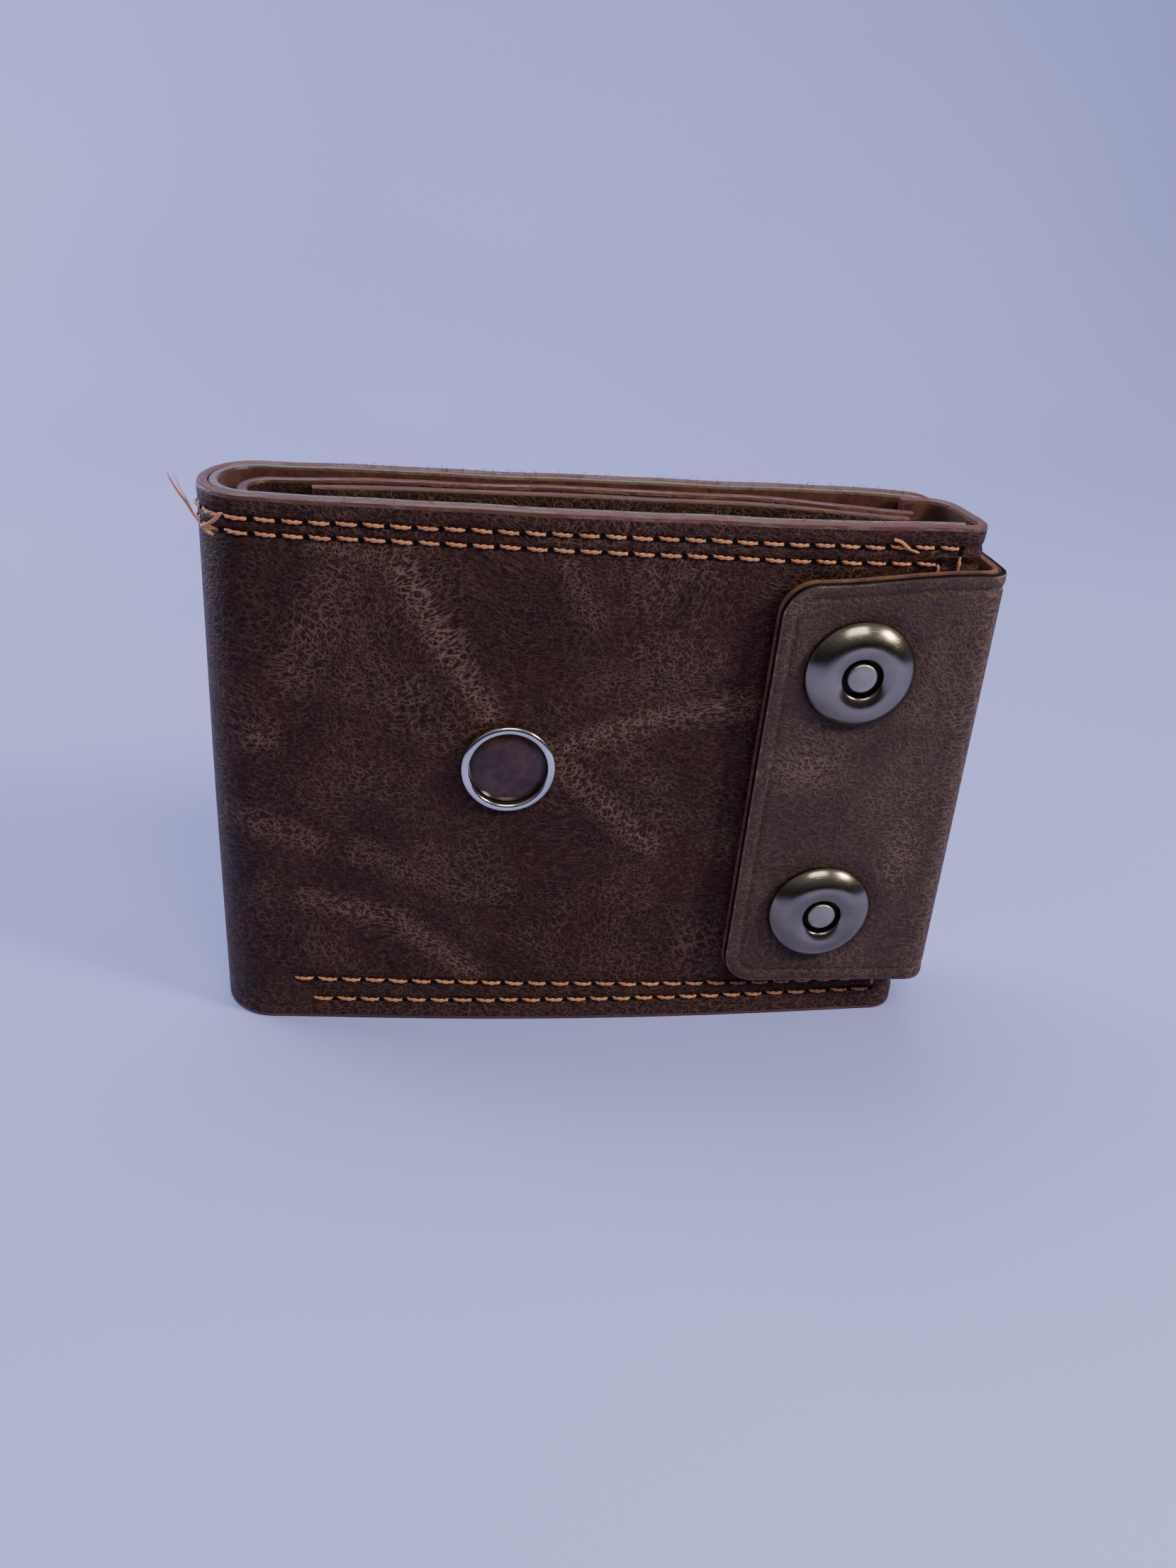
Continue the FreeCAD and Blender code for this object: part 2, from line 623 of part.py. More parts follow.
os.makedirs("parts", exist_ok=True)
build_fold()
build_back_half()
build_front_cover()
build_turned_edge()
build_front_panels()
build_front_rows()
build_studs()
build_badge()
build_strap_tail()
build_strap_side()
build_strap_leaf()
build_snap_heads()
for number, place in enumerate(bend_lines()):
    print("bend line", number + 1, round(place[0] - ORIGIN.x, 4), round(place[1] - ORIGIN.y, 4))
for label, crease_y in (("back", CREASE_BACK_Y), ("front", CREASE_FRONT_Y)):
    print("strap crease", label, round(CREASE_X - ORIGIN.x, 4), round(crease_y - ORIGIN.y, 4))
print("origin in plan coordinates", round(ORIGIN.x, 4), round(ORIGIN.y, 4))
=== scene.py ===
"""Looks of a bifold leather wallet with a snap strap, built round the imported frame.

Shapes are worked out in plan millimetres: x runs from the outside of the fold to the open end,
y from the chord of the front face to the back, z up. A sheet is drawn flat, as (s, z, depth), where
s runs along the leather and depth goes in from its outer face, and is then bent to its place.
"""
import math

import bpy
import numpy as np
from mathutils import Matrix, Vector


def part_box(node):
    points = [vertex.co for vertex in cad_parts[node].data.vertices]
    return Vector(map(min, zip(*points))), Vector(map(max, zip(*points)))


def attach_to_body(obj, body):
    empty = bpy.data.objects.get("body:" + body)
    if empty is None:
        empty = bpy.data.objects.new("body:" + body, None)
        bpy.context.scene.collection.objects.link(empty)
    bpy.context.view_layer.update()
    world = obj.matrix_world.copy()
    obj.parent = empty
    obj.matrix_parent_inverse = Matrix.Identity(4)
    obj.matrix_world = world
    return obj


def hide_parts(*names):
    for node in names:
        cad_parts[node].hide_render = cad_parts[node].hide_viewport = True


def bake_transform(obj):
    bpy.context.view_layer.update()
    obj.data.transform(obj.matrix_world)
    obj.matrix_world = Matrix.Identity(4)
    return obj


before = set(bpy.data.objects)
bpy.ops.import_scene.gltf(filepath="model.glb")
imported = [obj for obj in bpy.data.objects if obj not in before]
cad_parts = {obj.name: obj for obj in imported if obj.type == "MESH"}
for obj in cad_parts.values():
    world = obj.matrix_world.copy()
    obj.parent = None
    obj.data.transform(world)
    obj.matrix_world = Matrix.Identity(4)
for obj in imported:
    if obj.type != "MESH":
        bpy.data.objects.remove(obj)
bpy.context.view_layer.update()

# ---- plan dimensions, in millimetres ----
LENGTH = 115.0
HEIGHT = 88.0
DEPTH = 17.0
LEATHER = 1.7                # outer leather
COVER = 3.0                  # outer leather with its lining
FOLD_OUTER = 8.5             # outer radius of the fold
FOLD_NEUTRAL = 7.0
TURN = 4.0                   # outer radius of the wrapped end
TURN_NEUTRAL = 3.2
TURN_X = LENGTH - TURN
TURN_DEPTH = 13.0
FLAP = 4.2                   # what shows of the wrapped leather behind
BOW = 1.8                    # how far the front bulges
PANEL = 1.6                  # inner panel: thickness, middle and outer radius of its fold, two ends
PANEL_X = 10.2
PANEL_Y = 7.8
PANEL_OUTER = 4.6
PANEL_FRONT_END = 111.4
PANEL_BACK_END = 105.6
STRAP_BOTTOM = 9.5
STRAP_TOP = 81.0
STRAP_LEATHER = 1.2
STRAP_TOTAL = 2.2
LEAF_LEFT = 83.0
LEAF_OUTER = -4.6
TAIL_LEFT = 84.0
SIDE_OUTER = 117.6
TAIL_OUTER = 19.3
CORNER = 3.7                 # outer radius of the strap's bends
CORNER_NEUTRAL = 2.6
SNAP_X = 96.8
SNAP_Z = {"upper": 65.8, "lower": 23.7}
BADGE_X = 45.3
BADGE_Z = 48.2
STITCH_PITCH = 3.75
MM = 0.001

FOLD_CENTRE = (FOLD_OUTER, FOLD_OUTER)
FOLD_HALF = math.pi * FOLD_NEUTRAL / 2.0
PANEL_CENTRE = (PANEL_X, PANEL_Y)
PANEL_HALF = math.pi * (PANEL_OUTER - PANEL / 2.0) / 2.0
CORNER_ARC = math.pi * CORNER_NEUTRAL / 2.0
FRONT_TURN = FOLD_HALF + TURN_X - FOLD_OUTER
TURN_ARC = math.pi * TURN_NEUTRAL / 2.0
TURN_SIDE = TURN_DEPTH - 2.0 * TURN
FRONT_FLAP = FRONT_TURN + 2.0 * TURN_ARC + TURN_SIDE
BACK_END = -(FOLD_HALF + LENGTH - FOLD_OUTER)
CORNER_X = SIDE_OUTER - CORNER
CORNER_FRONT_Y = LEAF_OUTER + CORNER
CORNER_BACK_Y = TAIL_OUTER - CORNER
LEAF_END = CORNER_X - LEAF_LEFT
SIDE_START = LEAF_END + CORNER_ARC
SIDE_END = SIDE_START + CORNER_BACK_Y - CORNER_FRONT_Y
TAIL_START = SIDE_END + CORNER_ARC
TAIL_END = TAIL_START + CORNER_X - TAIL_LEFT

side_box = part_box("strap_side_leather")
tail_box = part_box("strap_tail_leather")
ORIGIN = np.array((SIDE_OUTER - side_box[1].x * 1000.0, TAIL_OUTER - tail_box[1].y * 1000.0, 0.0))


def to_row(points):
    """Plan millimetres to metres in the row's frame."""
    return (np.asarray(points, float) - ORIGIN) * MM


def smooth(low, high, value):
    t = np.clip((value - low) / (high - low), 0.0, 1.0)
    return t * t * (3.0 - 2.0 * t)


def bell(*parts):
    """1 in the middle and falling off all round; each part is a distance over a width."""
    total = 0.0
    for part in parts:
        total = total - part ** 2
    return np.exp(total)


def curve(points, blur):
    """A smooth function of one number through given (position, value) pairs."""
    step = 0.5
    grid = np.arange(-40.0, 180.0, step)
    values = np.interp(grid, [p[0] for p in points], [p[1] for p in points])
    reach = int(3.0 * blur / step)
    kernel = np.exp(-0.5 * (np.arange(-reach, reach + 1) * step / blur) ** 2)
    padded = np.pad(values, reach, mode="edge")
    soft = np.convolve(padded, kernel / kernel.sum(), mode="valid")
    return lambda value: np.interp(value, grid, soft)


def ripple(a, b, size, length):
    """Slow uneven waves, so that no sheet is dead flat."""
    k = 2.0 * math.pi / length
    wave = np.sin(k * (0.9 * a + 0.5 * b) + 0.7) + np.sin(k * (0.4 * a - 1.3 * b) + 2.1)
    wave = wave + 0.7 * np.sin(k * (1.9 * a + 0.8 * b) + 4.0) + 0.5 * np.sin(k * 2.7 * b - 1.0)
    return wave * size / 3.0


# ---- how the leather has settled ----
LEAN_IN = 2.4                # the back corner of the wrapped end is pulled in at the top
LEAN_BACK = 0.2              # and moves back by this much
GATHER_BACK = 2.6            # the back and front inner leaves move this far towards each other
GATHER_FRONT = 0.8
RIPPLE = 0.16                # height of the slow waves in the big sheets
CALM_HEIGHT = 30.0           # the fold stands upright below this height
BOW_MIDDLE = 60.15           # where the front bulges most, and how far to either side
BOW_REACH = 51.65
SAG = 1.35                   # how far the back panel falls back against the lining
CALM_FOOT = 12.0             # the foot stands flat below this height
LEAF_SKEW = 1.9              # the leaf's left edge slants: this much, less an even shift
LEAF_SHIFT = 1.0
SIDE_LIFT = 0.6              # the strap's top edge rises at the side and drops along the leaf
LEAF_DROP = 2.0
front_lean = curve(((8, 2.3), (32, 1.5), (56, -0.2), (77, -1.4), (103, -2.0)), 6.0)
back_lean = curve(((8, 4.2), (32, 3.5), (54, 2.7), (76, 1.5), (92, 1.0), (106, 0.0)), 5.0)
back_curl = curve(((98, 0.0), (104, -0.4), (110, -1.0), (115, -1.2)), 1.6)


def rise(x, z):
    """How much of the lean at the top edge is there at height z."""
    start = CALM_HEIGHT + 34.0 * smooth(55.0, 88.0, x)
    return smooth(start, 95.0, z) / smooth(start, 95.0, HEIGHT)


def front_shift(x, z):
    q = np.clip((x - BOW_MIDDLE) / BOW_REACH, -1.0, 1.0)
    bulge = -BOW * (1.0 - q * q) ** 1.2 * (1.0 - 0.25 * smooth(60.0, 88.0, z))
    calm = smooth(0.0, CALM_FOOT, z) * smooth(FOLD_OUTER, 22.0, x)
    return bulge + front_lean(x) * rise(x, z) + ripple(x, z, RIPPLE, 46.0) * calm


def back_shift(x, z):
    curl = back_curl(x) * smooth(79.5, 88.0, z)
    calm = smooth(0.0, CALM_FOOT, z) * smooth(FOLD_OUTER, 22.0, x) * (1.0 - smooth(80.0, 90.0, x))
    return back_lean(x) * rise(x, z) + curl + ripple(x + 31.0, z, RIPPLE, 50.0) * calm


def fold_shift(turn, z):
    """Inside the fold the front's lean passes over into the back's, with turn from 0 to 1."""
    edge = np.full_like(z, FOLD_OUTER)
    share = smooth(0.0, 1.0, turn)
    return back_shift(edge, z) * (1.0 - share) + front_shift(edge, z) * share


def edge_wave(s, z):
    """The cut edges at top and bottom aren't perfectly straight."""
    top = ripple(s, 0.0 * s, RIPPLE, 31.0) * smooth(70.0, 88.0, z)
    return z + top


def fold_once(s, z, d, half, centre, outer, back, front):
    """A sheet's back half, a half circle, and its front half. back and front say how far the halves
    have moved from flat."""
    turn = np.clip((s + half) / (2.0 * half), 0.0, 1.0)
    angle = turn * math.pi
    x = centre[0] - (outer - d) * np.sin(angle)
    y = centre[1] + (outer - d) * np.cos(angle) + fold_shift(turn, z)
    back_x = centre[0] - (s + half)
    x = np.where(s < -half, back_x, x)
    y = np.where(s < -half, centre[1] + outer - d + back(back_x, z), y)
    front_x = centre[0] + (s - half)
    x = np.where(s > half, front_x, x)
    y = np.where(s > half, centre[1] - outer + d + front(front_x, z), y)
    return x, y


def bend_cover(s, z, d):
    """The outer leather and its lining: back, fold, front, turned end and flap."""
    x, y = fold_once(s, z, d, FOLD_HALF, FOLD_CENTRE, FOLD_OUTER, back_shift, front_shift)
    first = np.clip((s - FRONT_TURN) / TURN_NEUTRAL, 0.0, math.pi / 2.0)
    level = np.clip(s - FRONT_TURN - TURN_ARC, 0.0, TURN_SIDE)
    second = np.clip((s - FRONT_FLAP + TURN_ARC) / TURN_NEUTRAL, 0.0, math.pi / 2.0)
    flap = np.maximum(s - FRONT_FLAP, 0.0)
    skin = TURN - d
    turned_x = TURN_X + skin * (np.sin(first) + np.cos(second) - 1.0) - flap
    turned_y = TURN - skin * np.cos(first) + level + skin * np.sin(second)
    held = 1.0 - smooth(FRONT_TURN, FRONT_FLAP, s)
    turned_y = turned_y + front_shift(np.full_like(s, TURN_X), z) * held
    turned_y = turned_y + LEAN_BACK * (1.0 - held) * smooth(70.0, HEIGHT, z)
    turned_x = turned_x - LEAN_IN * (1.0 - held) * smooth(62.0, HEIGHT, z)
    turned = s > FRONT_TURN
    x = np.where(turned, turned_x, x)
    y = np.where(turned, turned_y, y)
    return np.stack((x, y, edge_wave(s, z)), axis=-1)


def sag(x, z):
    """The back panel lies against the lining, away from the two ends."""
    return SAG * smooth(13.0, 26.0, x) * (1.0 - smooth(84.0, 103.0, x)) * smooth(20.0, 70.0, z)


def gather(x, z):
    """The inner leaves come together towards the open end, near the top."""
    return smooth(76.0, 103.0, x) * smooth(50.0, 86.0, z)


def inner_back(x, z):
    return back_shift(x, z) + sag(x, z) - GATHER_BACK * gather(x, z)


def inner_front(x, z):
    return front_shift(x, z) + GATHER_FRONT * gather(x, z)


def bend_panel(s, z, d):
    """The inner panel that makes the note compartment: a tighter U inside the cover."""
    x, y = fold_once(s, z, d, PANEL_HALF, PANEL_CENTRE, PANEL_OUTER, inner_back, inner_front)
    return np.stack((x, y, edge_wave(s + 57.0, z)), axis=-1)


def bend_strap(s, z, d):
    """Leaf, side and tail of the strap, round its two corners."""
    leaf_x = LEAF_LEFT + s
    near = 1.0 - smooth(0.0, LEAF_END, s)
    up = (z - STRAP_BOTTOM) / (STRAP_TOP - STRAP_BOTTOM)
    leaf_x = leaf_x + near * (LEAF_SKEW * up - LEAF_SHIFT)
    first = np.clip((s - LEAF_END) / CORNER_ARC, 0.0, 1.0) * math.pi / 2.0
    second = np.clip((s - SIDE_END) / CORNER_ARC, 0.0, 1.0) * math.pi / 2.0
    x = CORNER_X + (CORNER - d) * np.sin(first)
    y = CORNER_FRONT_Y - (CORNER - d) * np.cos(first)
    leaf = s < LEAF_END
    x = np.where(leaf, leaf_x, x)
    cup = ripple(s, z, 0.18, 60.0) * smooth(0.0, 8.0, LEAF_END - s)
    y = np.where(leaf, LEAF_OUTER + d + cup, y)
    y = np.where(s > SIDE_START, CORNER_FRONT_Y + (s - SIDE_START), y)
    back_y = CORNER_BACK_Y + (CORNER - d) * np.sin(second)
    x = np.where(s > SIDE_END, CORNER_X + (CORNER - d) * np.cos(second), x)
    y = np.where(s > SIDE_END, back_y, y)
    tail_x = CORNER_X - (s - TAIL_START)
    tail = s > TAIL_START
    x = np.where(tail, tail_x, x)
    y = np.where(tail, TAIL_OUTER - d + back_shift(tail_x, z) * smooth(0.0, 6.0, CORNER_X - tail_x), y)
    lift = SIDE_LIFT * (1.0 - smooth(SIDE_START, SIDE_END, s))
    lift = lift - LEAF_DROP * (1.0 - smooth(4.0, LEAF_END, s))
    return np.stack((x, y, z + lift * up * smooth(0.3, 1.0, up)), axis=-1)


# ---- sheet builder ----
CUT_GAP = 0.1                # a close grid line beside each cut keeps its shading flat
LEAST_GAP = 0.06


def grid_lines(low, high, step, extra=(), cut=(False, False)):
    """Fractions along a side: even steps, extra lines, and a close line beside each cut."""
    count = max(int(round((high - low) / step)), 2)
    values = list(np.linspace(low, high, count + 1))
    values += [e for e in extra if low + CUT_GAP < e < high - CUT_GAP]
    if cut[0]:
        values.append(low + CUT_GAP)
    if cut[1]:
        values.append(high - CUT_GAP)
    values = np.unique(np.round(values, 3))
    keep = np.concatenate(([True], np.diff(values) > LEAST_GAP))
    keep[-1] = True
    fractions = (values[keep] - low) / (high - low)
    fractions[0] = 0.0
    fractions[-1] = 1.0
    return fractions


def side_curve(a, b, inward, radii, breaks, u):
    """One side of an outline, from the middle of one corner to the middle of the next."""
    a = np.array(a, float)
    b = np.array(b, float)
    along = (b - a) / np.linalg.norm(b - a)
    inward = np.array(inward, float)
    first, last = radii
    low, high = breaks
    points = []
    for value in u:
        if value < low:
            turn = (1.0 - value / low) * math.pi / 4.0
            swing = -along * math.sin(turn) - inward * math.cos(turn)
            points.append(a + (along + inward) * first + swing * first)
        elif value > high:
            turn = (value - high) / (1.0 - high) * math.pi / 4.0
            swing = along * math.sin(turn) - inward * math.cos(turn)
            points.append(b + (inward - along) * last + swing * last)
        else:
            start = a + along * first
            stop = b - along * last
            points.append(start + (stop - start) * (value - low) / (high - low))
    return np.array(points)


def corner_breaks(length, first, last):
    """Shares of a side at which its first corner ends and its last corner begins."""
    arc = math.pi / 4.0
    total = length - first - last + arc * (first + last)
    return arc * first / total, 1.0 - arc * last / total


def outline(s, z, radii, cut, inset, us, vs):
    """The four sides of a sheet's outline, moved in from its free sides."""
    left, right = radii
    low_s = s[0] + (0.0 if cut[0] else inset)
    high_s = s[1] - (0.0 if cut[1] else inset)
    low_z = z[0] + inset
    high_z = z[1] - inset
    inner = [max(radius - inset, 0.0) for radius in radii]
    wide = corner_breaks(s[1] - s[0], left, right)
    tall_left = corner_breaks(z[1] - z[0], left, left)
    tall_right = corner_breaks(z[1] - z[0], right, right)
    return (
        side_curve((low_s, low_z), (high_s, low_z), (0, 1), inner, wide, us),
        side_curve((high_s, low_z), (high_s, high_z), (-1, 0), (inner[1],) * 2, tall_right, vs),
        side_curve((low_s, high_z), (high_s, high_z), (0, -1), inner, wide, us),
        side_curve((low_s, low_z), (low_s, high_z), (1, 0), (inner[0],) * 2, tall_left, vs),
    )


def coons(sides, us, vs):
    """A grid of points filled in between four sides."""
    bottom, right, top, left = sides
    u = us[:, None, None]
    v = vs[None, :, None]
    across = (1.0 - v) * bottom[:, None, :] + v * top[:, None, :]
    up = (1.0 - u) * left[None, :, :] + u * right[None, :, :]
    corners = (1.0 - u) * (1.0 - v) * bottom[0] + u * (1.0 - v) * bottom[-1]
    corners = corners + (1.0 - u) * v * top[0] + u * v * top[-1]
    return across + up - corners


def rim_chains(n, m, cut):
    """Grid nodes along the free sides of a sheet, as unbroken chains."""
    bottom = [(i, 0) for i in range(n + 1)]
    right = [(n, j) for j in range(m + 1)]
    top = [(i, m) for i in range(n, -1, -1)]
    left = [(0, j) for j in range(m, -1, -1)]
    if cut[0] and cut[1]:
        return [bottom, top]
    if cut[0]:
        return [bottom + right[1:] + top[1:]]
    if cut[1]:
        return [top + left[1:] + bottom[1:]]
    return [bottom + right[1:] + top[1:] + left[1:]]


def ring_point(ring, node, n, m):
    """Where a node of the rim lies on one ring of the outline."""
    bottom, right, top, left = ring
    i, j = node
    if j == 0:
        return bottom[i]
    if j == m:
        return top[i]
    return right[j] if i == n else left[j]


def rim_columns(chains, rings, profile, front, back):
    """The vertices from front to back at each node of the rim, and the flat places of the new ones."""
    n = front.shape[0] - 1
    m = front.shape[1] - 1
    next_index = 2 * front.size
    columns = {}
    extra = []
    for node in [node for chain in chains for node in chain]:
        if node in columns:
            continue
        column = [front[node]]
        for ring, entry in zip(rings[1:-1], profile[1:-1]):
            place = ring_point(ring, node, n, m)
            extra.append((place[0], place[1], entry[1]))
            column.append(next_index)
            next_index += 1
        columns[node] = column + [back[node]]
    return columns, np.array(extra).reshape(-1, 3)


def sheet_faces(front, back, chains, columns, profile, cut):
    """Both faces, the bands of the rim and a flat end at each cut, with their material numbers."""
    n = front.shape[0] - 1
    m = front.shape[1] - 1
    behind = profile[-1][2]
    faces = []
    numbers = []
    for i in range(n):
        for j in range(m):
            faces.append((front[i, j], front[i + 1, j], front[i + 1, j + 1], front[i, j + 1]))
            faces.append((back[i, j], back[i, j + 1], back[i + 1, j + 1], back[i + 1, j]))
            numbers += [0, behind]
    for chain in chains:
        for a, b in zip(chain[:-1], chain[1:]):
            for k in range(len(profile) - 1):
                faces.append((columns[b][k], columns[a][k], columns[a][k + 1], columns[b][k + 1]))
                numbers.append(profile[k][2])
    for side, i in ((0, 0), (1, n)):
        if cut[side]:
            loop = [front[i, j] for j in range(m + 1)] + columns[(i, m)][1:-1]
            loop += [back[i, j] for j in range(m, -1, -1)] + columns[(i, 0)][1:-1][::-1]
            faces.append(tuple(loop if side == 0 else loop[::-1]))
            numbers.append(behind)
    return faces, numbers


def sheet_mesh(name, s, z, profile, bend, materials, wear, step, cut=(False, False),
               radii=(0.0, 0.0), z_extra=(), relief=None):
    """A sheet with a shaped rim. profile runs from the front face round the rim to the back face,
    as (inset, depth, material of the band that follows)."""
    us = grid_lines(s[0], s[1], step, cut=cut)
    vs = grid_lines(z[0], z[1], step, z_extra)
    rings = [outline(s, z, radii, cut, inset, us, vs) for inset, _, _ in profile]
    count = len(us) * len(vs)
    flat = []
    for end in (0, -1):
        places = coons(rings[end], us, vs).reshape(-1, 2)
        flat.append(np.concatenate((places, np.full((count, 1), profile[end][1])), axis=1))
    front = np.arange(count).reshape(len(us), len(vs))
    back = front + count
    chains = rim_chains(len(us) - 1, len(vs) - 1, cut)
    columns, extra = rim_columns(chains, rings, profile, front, back)
    flat = np.concatenate(flat + [extra])
    faces, numbers = sheet_faces(front, back, chains, columns, profile, cut)
    depth = flat[:, 2]
    if relief is not None:
        middle = (profile[0][1] + profile[-1][1]) / 2.0
        depth = depth + np.where(depth < middle, relief(flat[:, 0], flat[:, 1]), 0.0)
    points = bend(flat[:, 0], flat[:, 1], depth)
    return plan_mesh(name, points, faces, materials, 40.0, numbers, flat, wear(flat[:, 0], flat[:, 1]))


def plan_mesh(name, points, faces, materials, sharp, numbers=None, flat=None, wear=None):
    """A mesh given in plan millimetres. It keeps each point's place on the flat leather, and how
    worn it is, for the materials."""
    faces = [tuple(int(v) for v in face) for face in faces]
    piece = new_object(name, to_row(points).tolist(), faces, materials)
    mesh = piece.data
    if numbers is not None:
        mesh.polygons.foreach_set("material_index", numbers)
    flat = np.asarray(points if flat is None else flat, np.float32)
    mesh.attributes.new("flat", "FLOAT_VECTOR", "POINT").data.foreach_set("vector", flat.ravel())
    if wear is not None:
        mark = mesh.attributes.new("wear", "FLOAT", "POINT")
        mark.data.foreach_set("value", wear.astype(np.float32))
    mesh.set_sharp_from_angle(angle=math.radians(sharp))
    return piece


def new_object(name, points, faces, materials):
    mesh = bpy.data.meshes.new(name)
    mesh.from_pydata(points, [], faces)
    for material in materials:
        mesh.materials.append(material)
    mesh.shade_smooth()
    piece = bpy.data.objects.new(name, mesh)
    bpy.context.scene.collection.objects.link(piece)
    return piece


RIM_POWER = 2.0 / 2.6        # a rounded rim, a little squarer than a half circle


def rim_profile(near, far, inset, bands=5):
    """A rounded, painted edge between two depths."""
    entries = []
    half = (far - near) / 2.0
    for k in range(bands + 1):
        angle = math.pi * k / bands
        swing = math.copysign(abs(math.cos(angle)) ** RIM_POWER, math.cos(angle))
        depth = near if k == 0 else far if k == bands else (near + far) / 2.0 - half * swing
        entries.append((inset * (1.0 - math.sin(angle) ** RIM_POWER), depth, 1))
    return entries


# ---- materials ----
class Nodes:
    """A small helper for writing node trees."""

    def __init__(self, tree):
        self.tree = tree

    def add(self, kind, inputs=(), **settings):
        node = self.tree.nodes.new("ShaderNode" + kind)
        for key, value in settings.items():
            setattr(node, key, value)
        for key, value in dict(inputs).items():
            self.feed(node.inputs[key], value)
        return node

    def feed(self, socket, value):
        if isinstance(value, bpy.types.NodeSocket):
            self.tree.links.new(value, socket)
        else:
            socket.default_value = value

    def span(self, value, low, high, to_low=0.0, to_high=1.0):
        """A smooth step from to_low to to_high."""
        inputs = {"Value": value, 1: low, 2: high, 3: to_low, 4: to_high}
        return self.add("MapRange", inputs, interpolation_type="SMOOTHSTEP").outputs[0]

    def math(self, operation, a, b):
        return self.add("Math", {0: a, 1: b}, operation=operation).outputs[0]

    def times(self, a, b):
        return self.math("MULTIPLY", a, b)

    def plus(self, a, b):
        return self.math("ADD", a, b)

    def mix(self, factor, a, b):
        inputs = {0: factor, 6: a, 7: b}
        return self.add("Mix", inputs, data_type="RGBA").outputs[2]


class Graph(Nodes):
    """A procedural material."""

    def __init__(self, name, rough=0.5, metal=0.0, sheen=0.0, coat=0.0, specular=0.5):
        self.material = bpy.data.materials.new(name)
        self.material.use_nodes = True
        super().__init__(self.material.node_tree)
        even = {
            "Roughness": rough, "Metallic": metal, "Sheen Weight": sheen, "Sheen Roughness": 0.5,
            "Coat Weight": coat, "Coat Roughness": 0.25, "Specular IOR Level": specular,
        }
        for socket, value in even.items():
            self.set(socket, value)

    def set(self, name, value):
        self.feed(self.tree.nodes["Principled BSDF"].inputs[name], value)

    def stored(self, name):
        return self.add("Attribute", attribute_name=name)

    def flat(self):
        return self.stored("flat").outputs["Vector"]

    def wear(self):
        return self.stored("wear").outputs["Fac"]

    def object_place(self):
        return self.add("TexCoord").outputs["Object"]

    def scaled(self, vector, scale):
        return self.add("VectorMath", {0: vector, 1: scale}, operation="MULTIPLY").outputs[0]

    def warped(self, vector, scale, amount):
        """The vector moved about by a slow noise."""
        noise = self.add("TexNoise", {"Vector": vector, "Scale": scale, "Detail": 2.0})
        centred = {0: noise.outputs["Color"], 1: (0.5, 0.5, 0.5)}
        shift = self.add("VectorMath", centred, operation="SUBTRACT").outputs[0]
        moved = {0: shift, 1: (amount,) * 3, 2: vector}
        return self.add("VectorMath", moved, operation="MULTIPLY_ADD").outputs[0]

    def noise(self, vector, scale, detail=3.0, rough=0.55):
        """Noise with about scale bumps to a unit: millimetres on the flat leather, else metres."""
        inputs = {"Vector": vector, "Scale": scale, "Detail": detail, "Roughness": rough}
        return self.add("TexNoise", inputs).outputs["Fac"]

    def cells(self, vector, scale, feature="DISTANCE_TO_EDGE"):
        """Distance to the edges of a cracked net, or with F1 to the middles of its cells."""
        inputs = {"Vector": vector, "Scale": scale}
        node = self.add("TexVoronoi", inputs, feature=feature, voronoi_dimensions="2D")
        return node.outputs["Distance"]

    def bump(self, height, distance, strength):
        """Raises the surface by height, over a distance in metres."""
        inputs = {"Height": height, "Distance": distance, "Strength": strength}
        self.set("Normal", self.add("Bump", inputs).outputs["Normal"])


def rgb(r, g, b):
    """A display colour, 0 to 255, as a shader colour."""
    shares = [value / 255.0 for value in (r, g, b)]
    return (*(c / 12.92 if c <= 0.04045 else ((c + 0.055) / 1.055) ** 2.4 for c in shares), 1.0)


LEATHER_ROUGH = 0.5
LEATHER_HAZE = 0.05


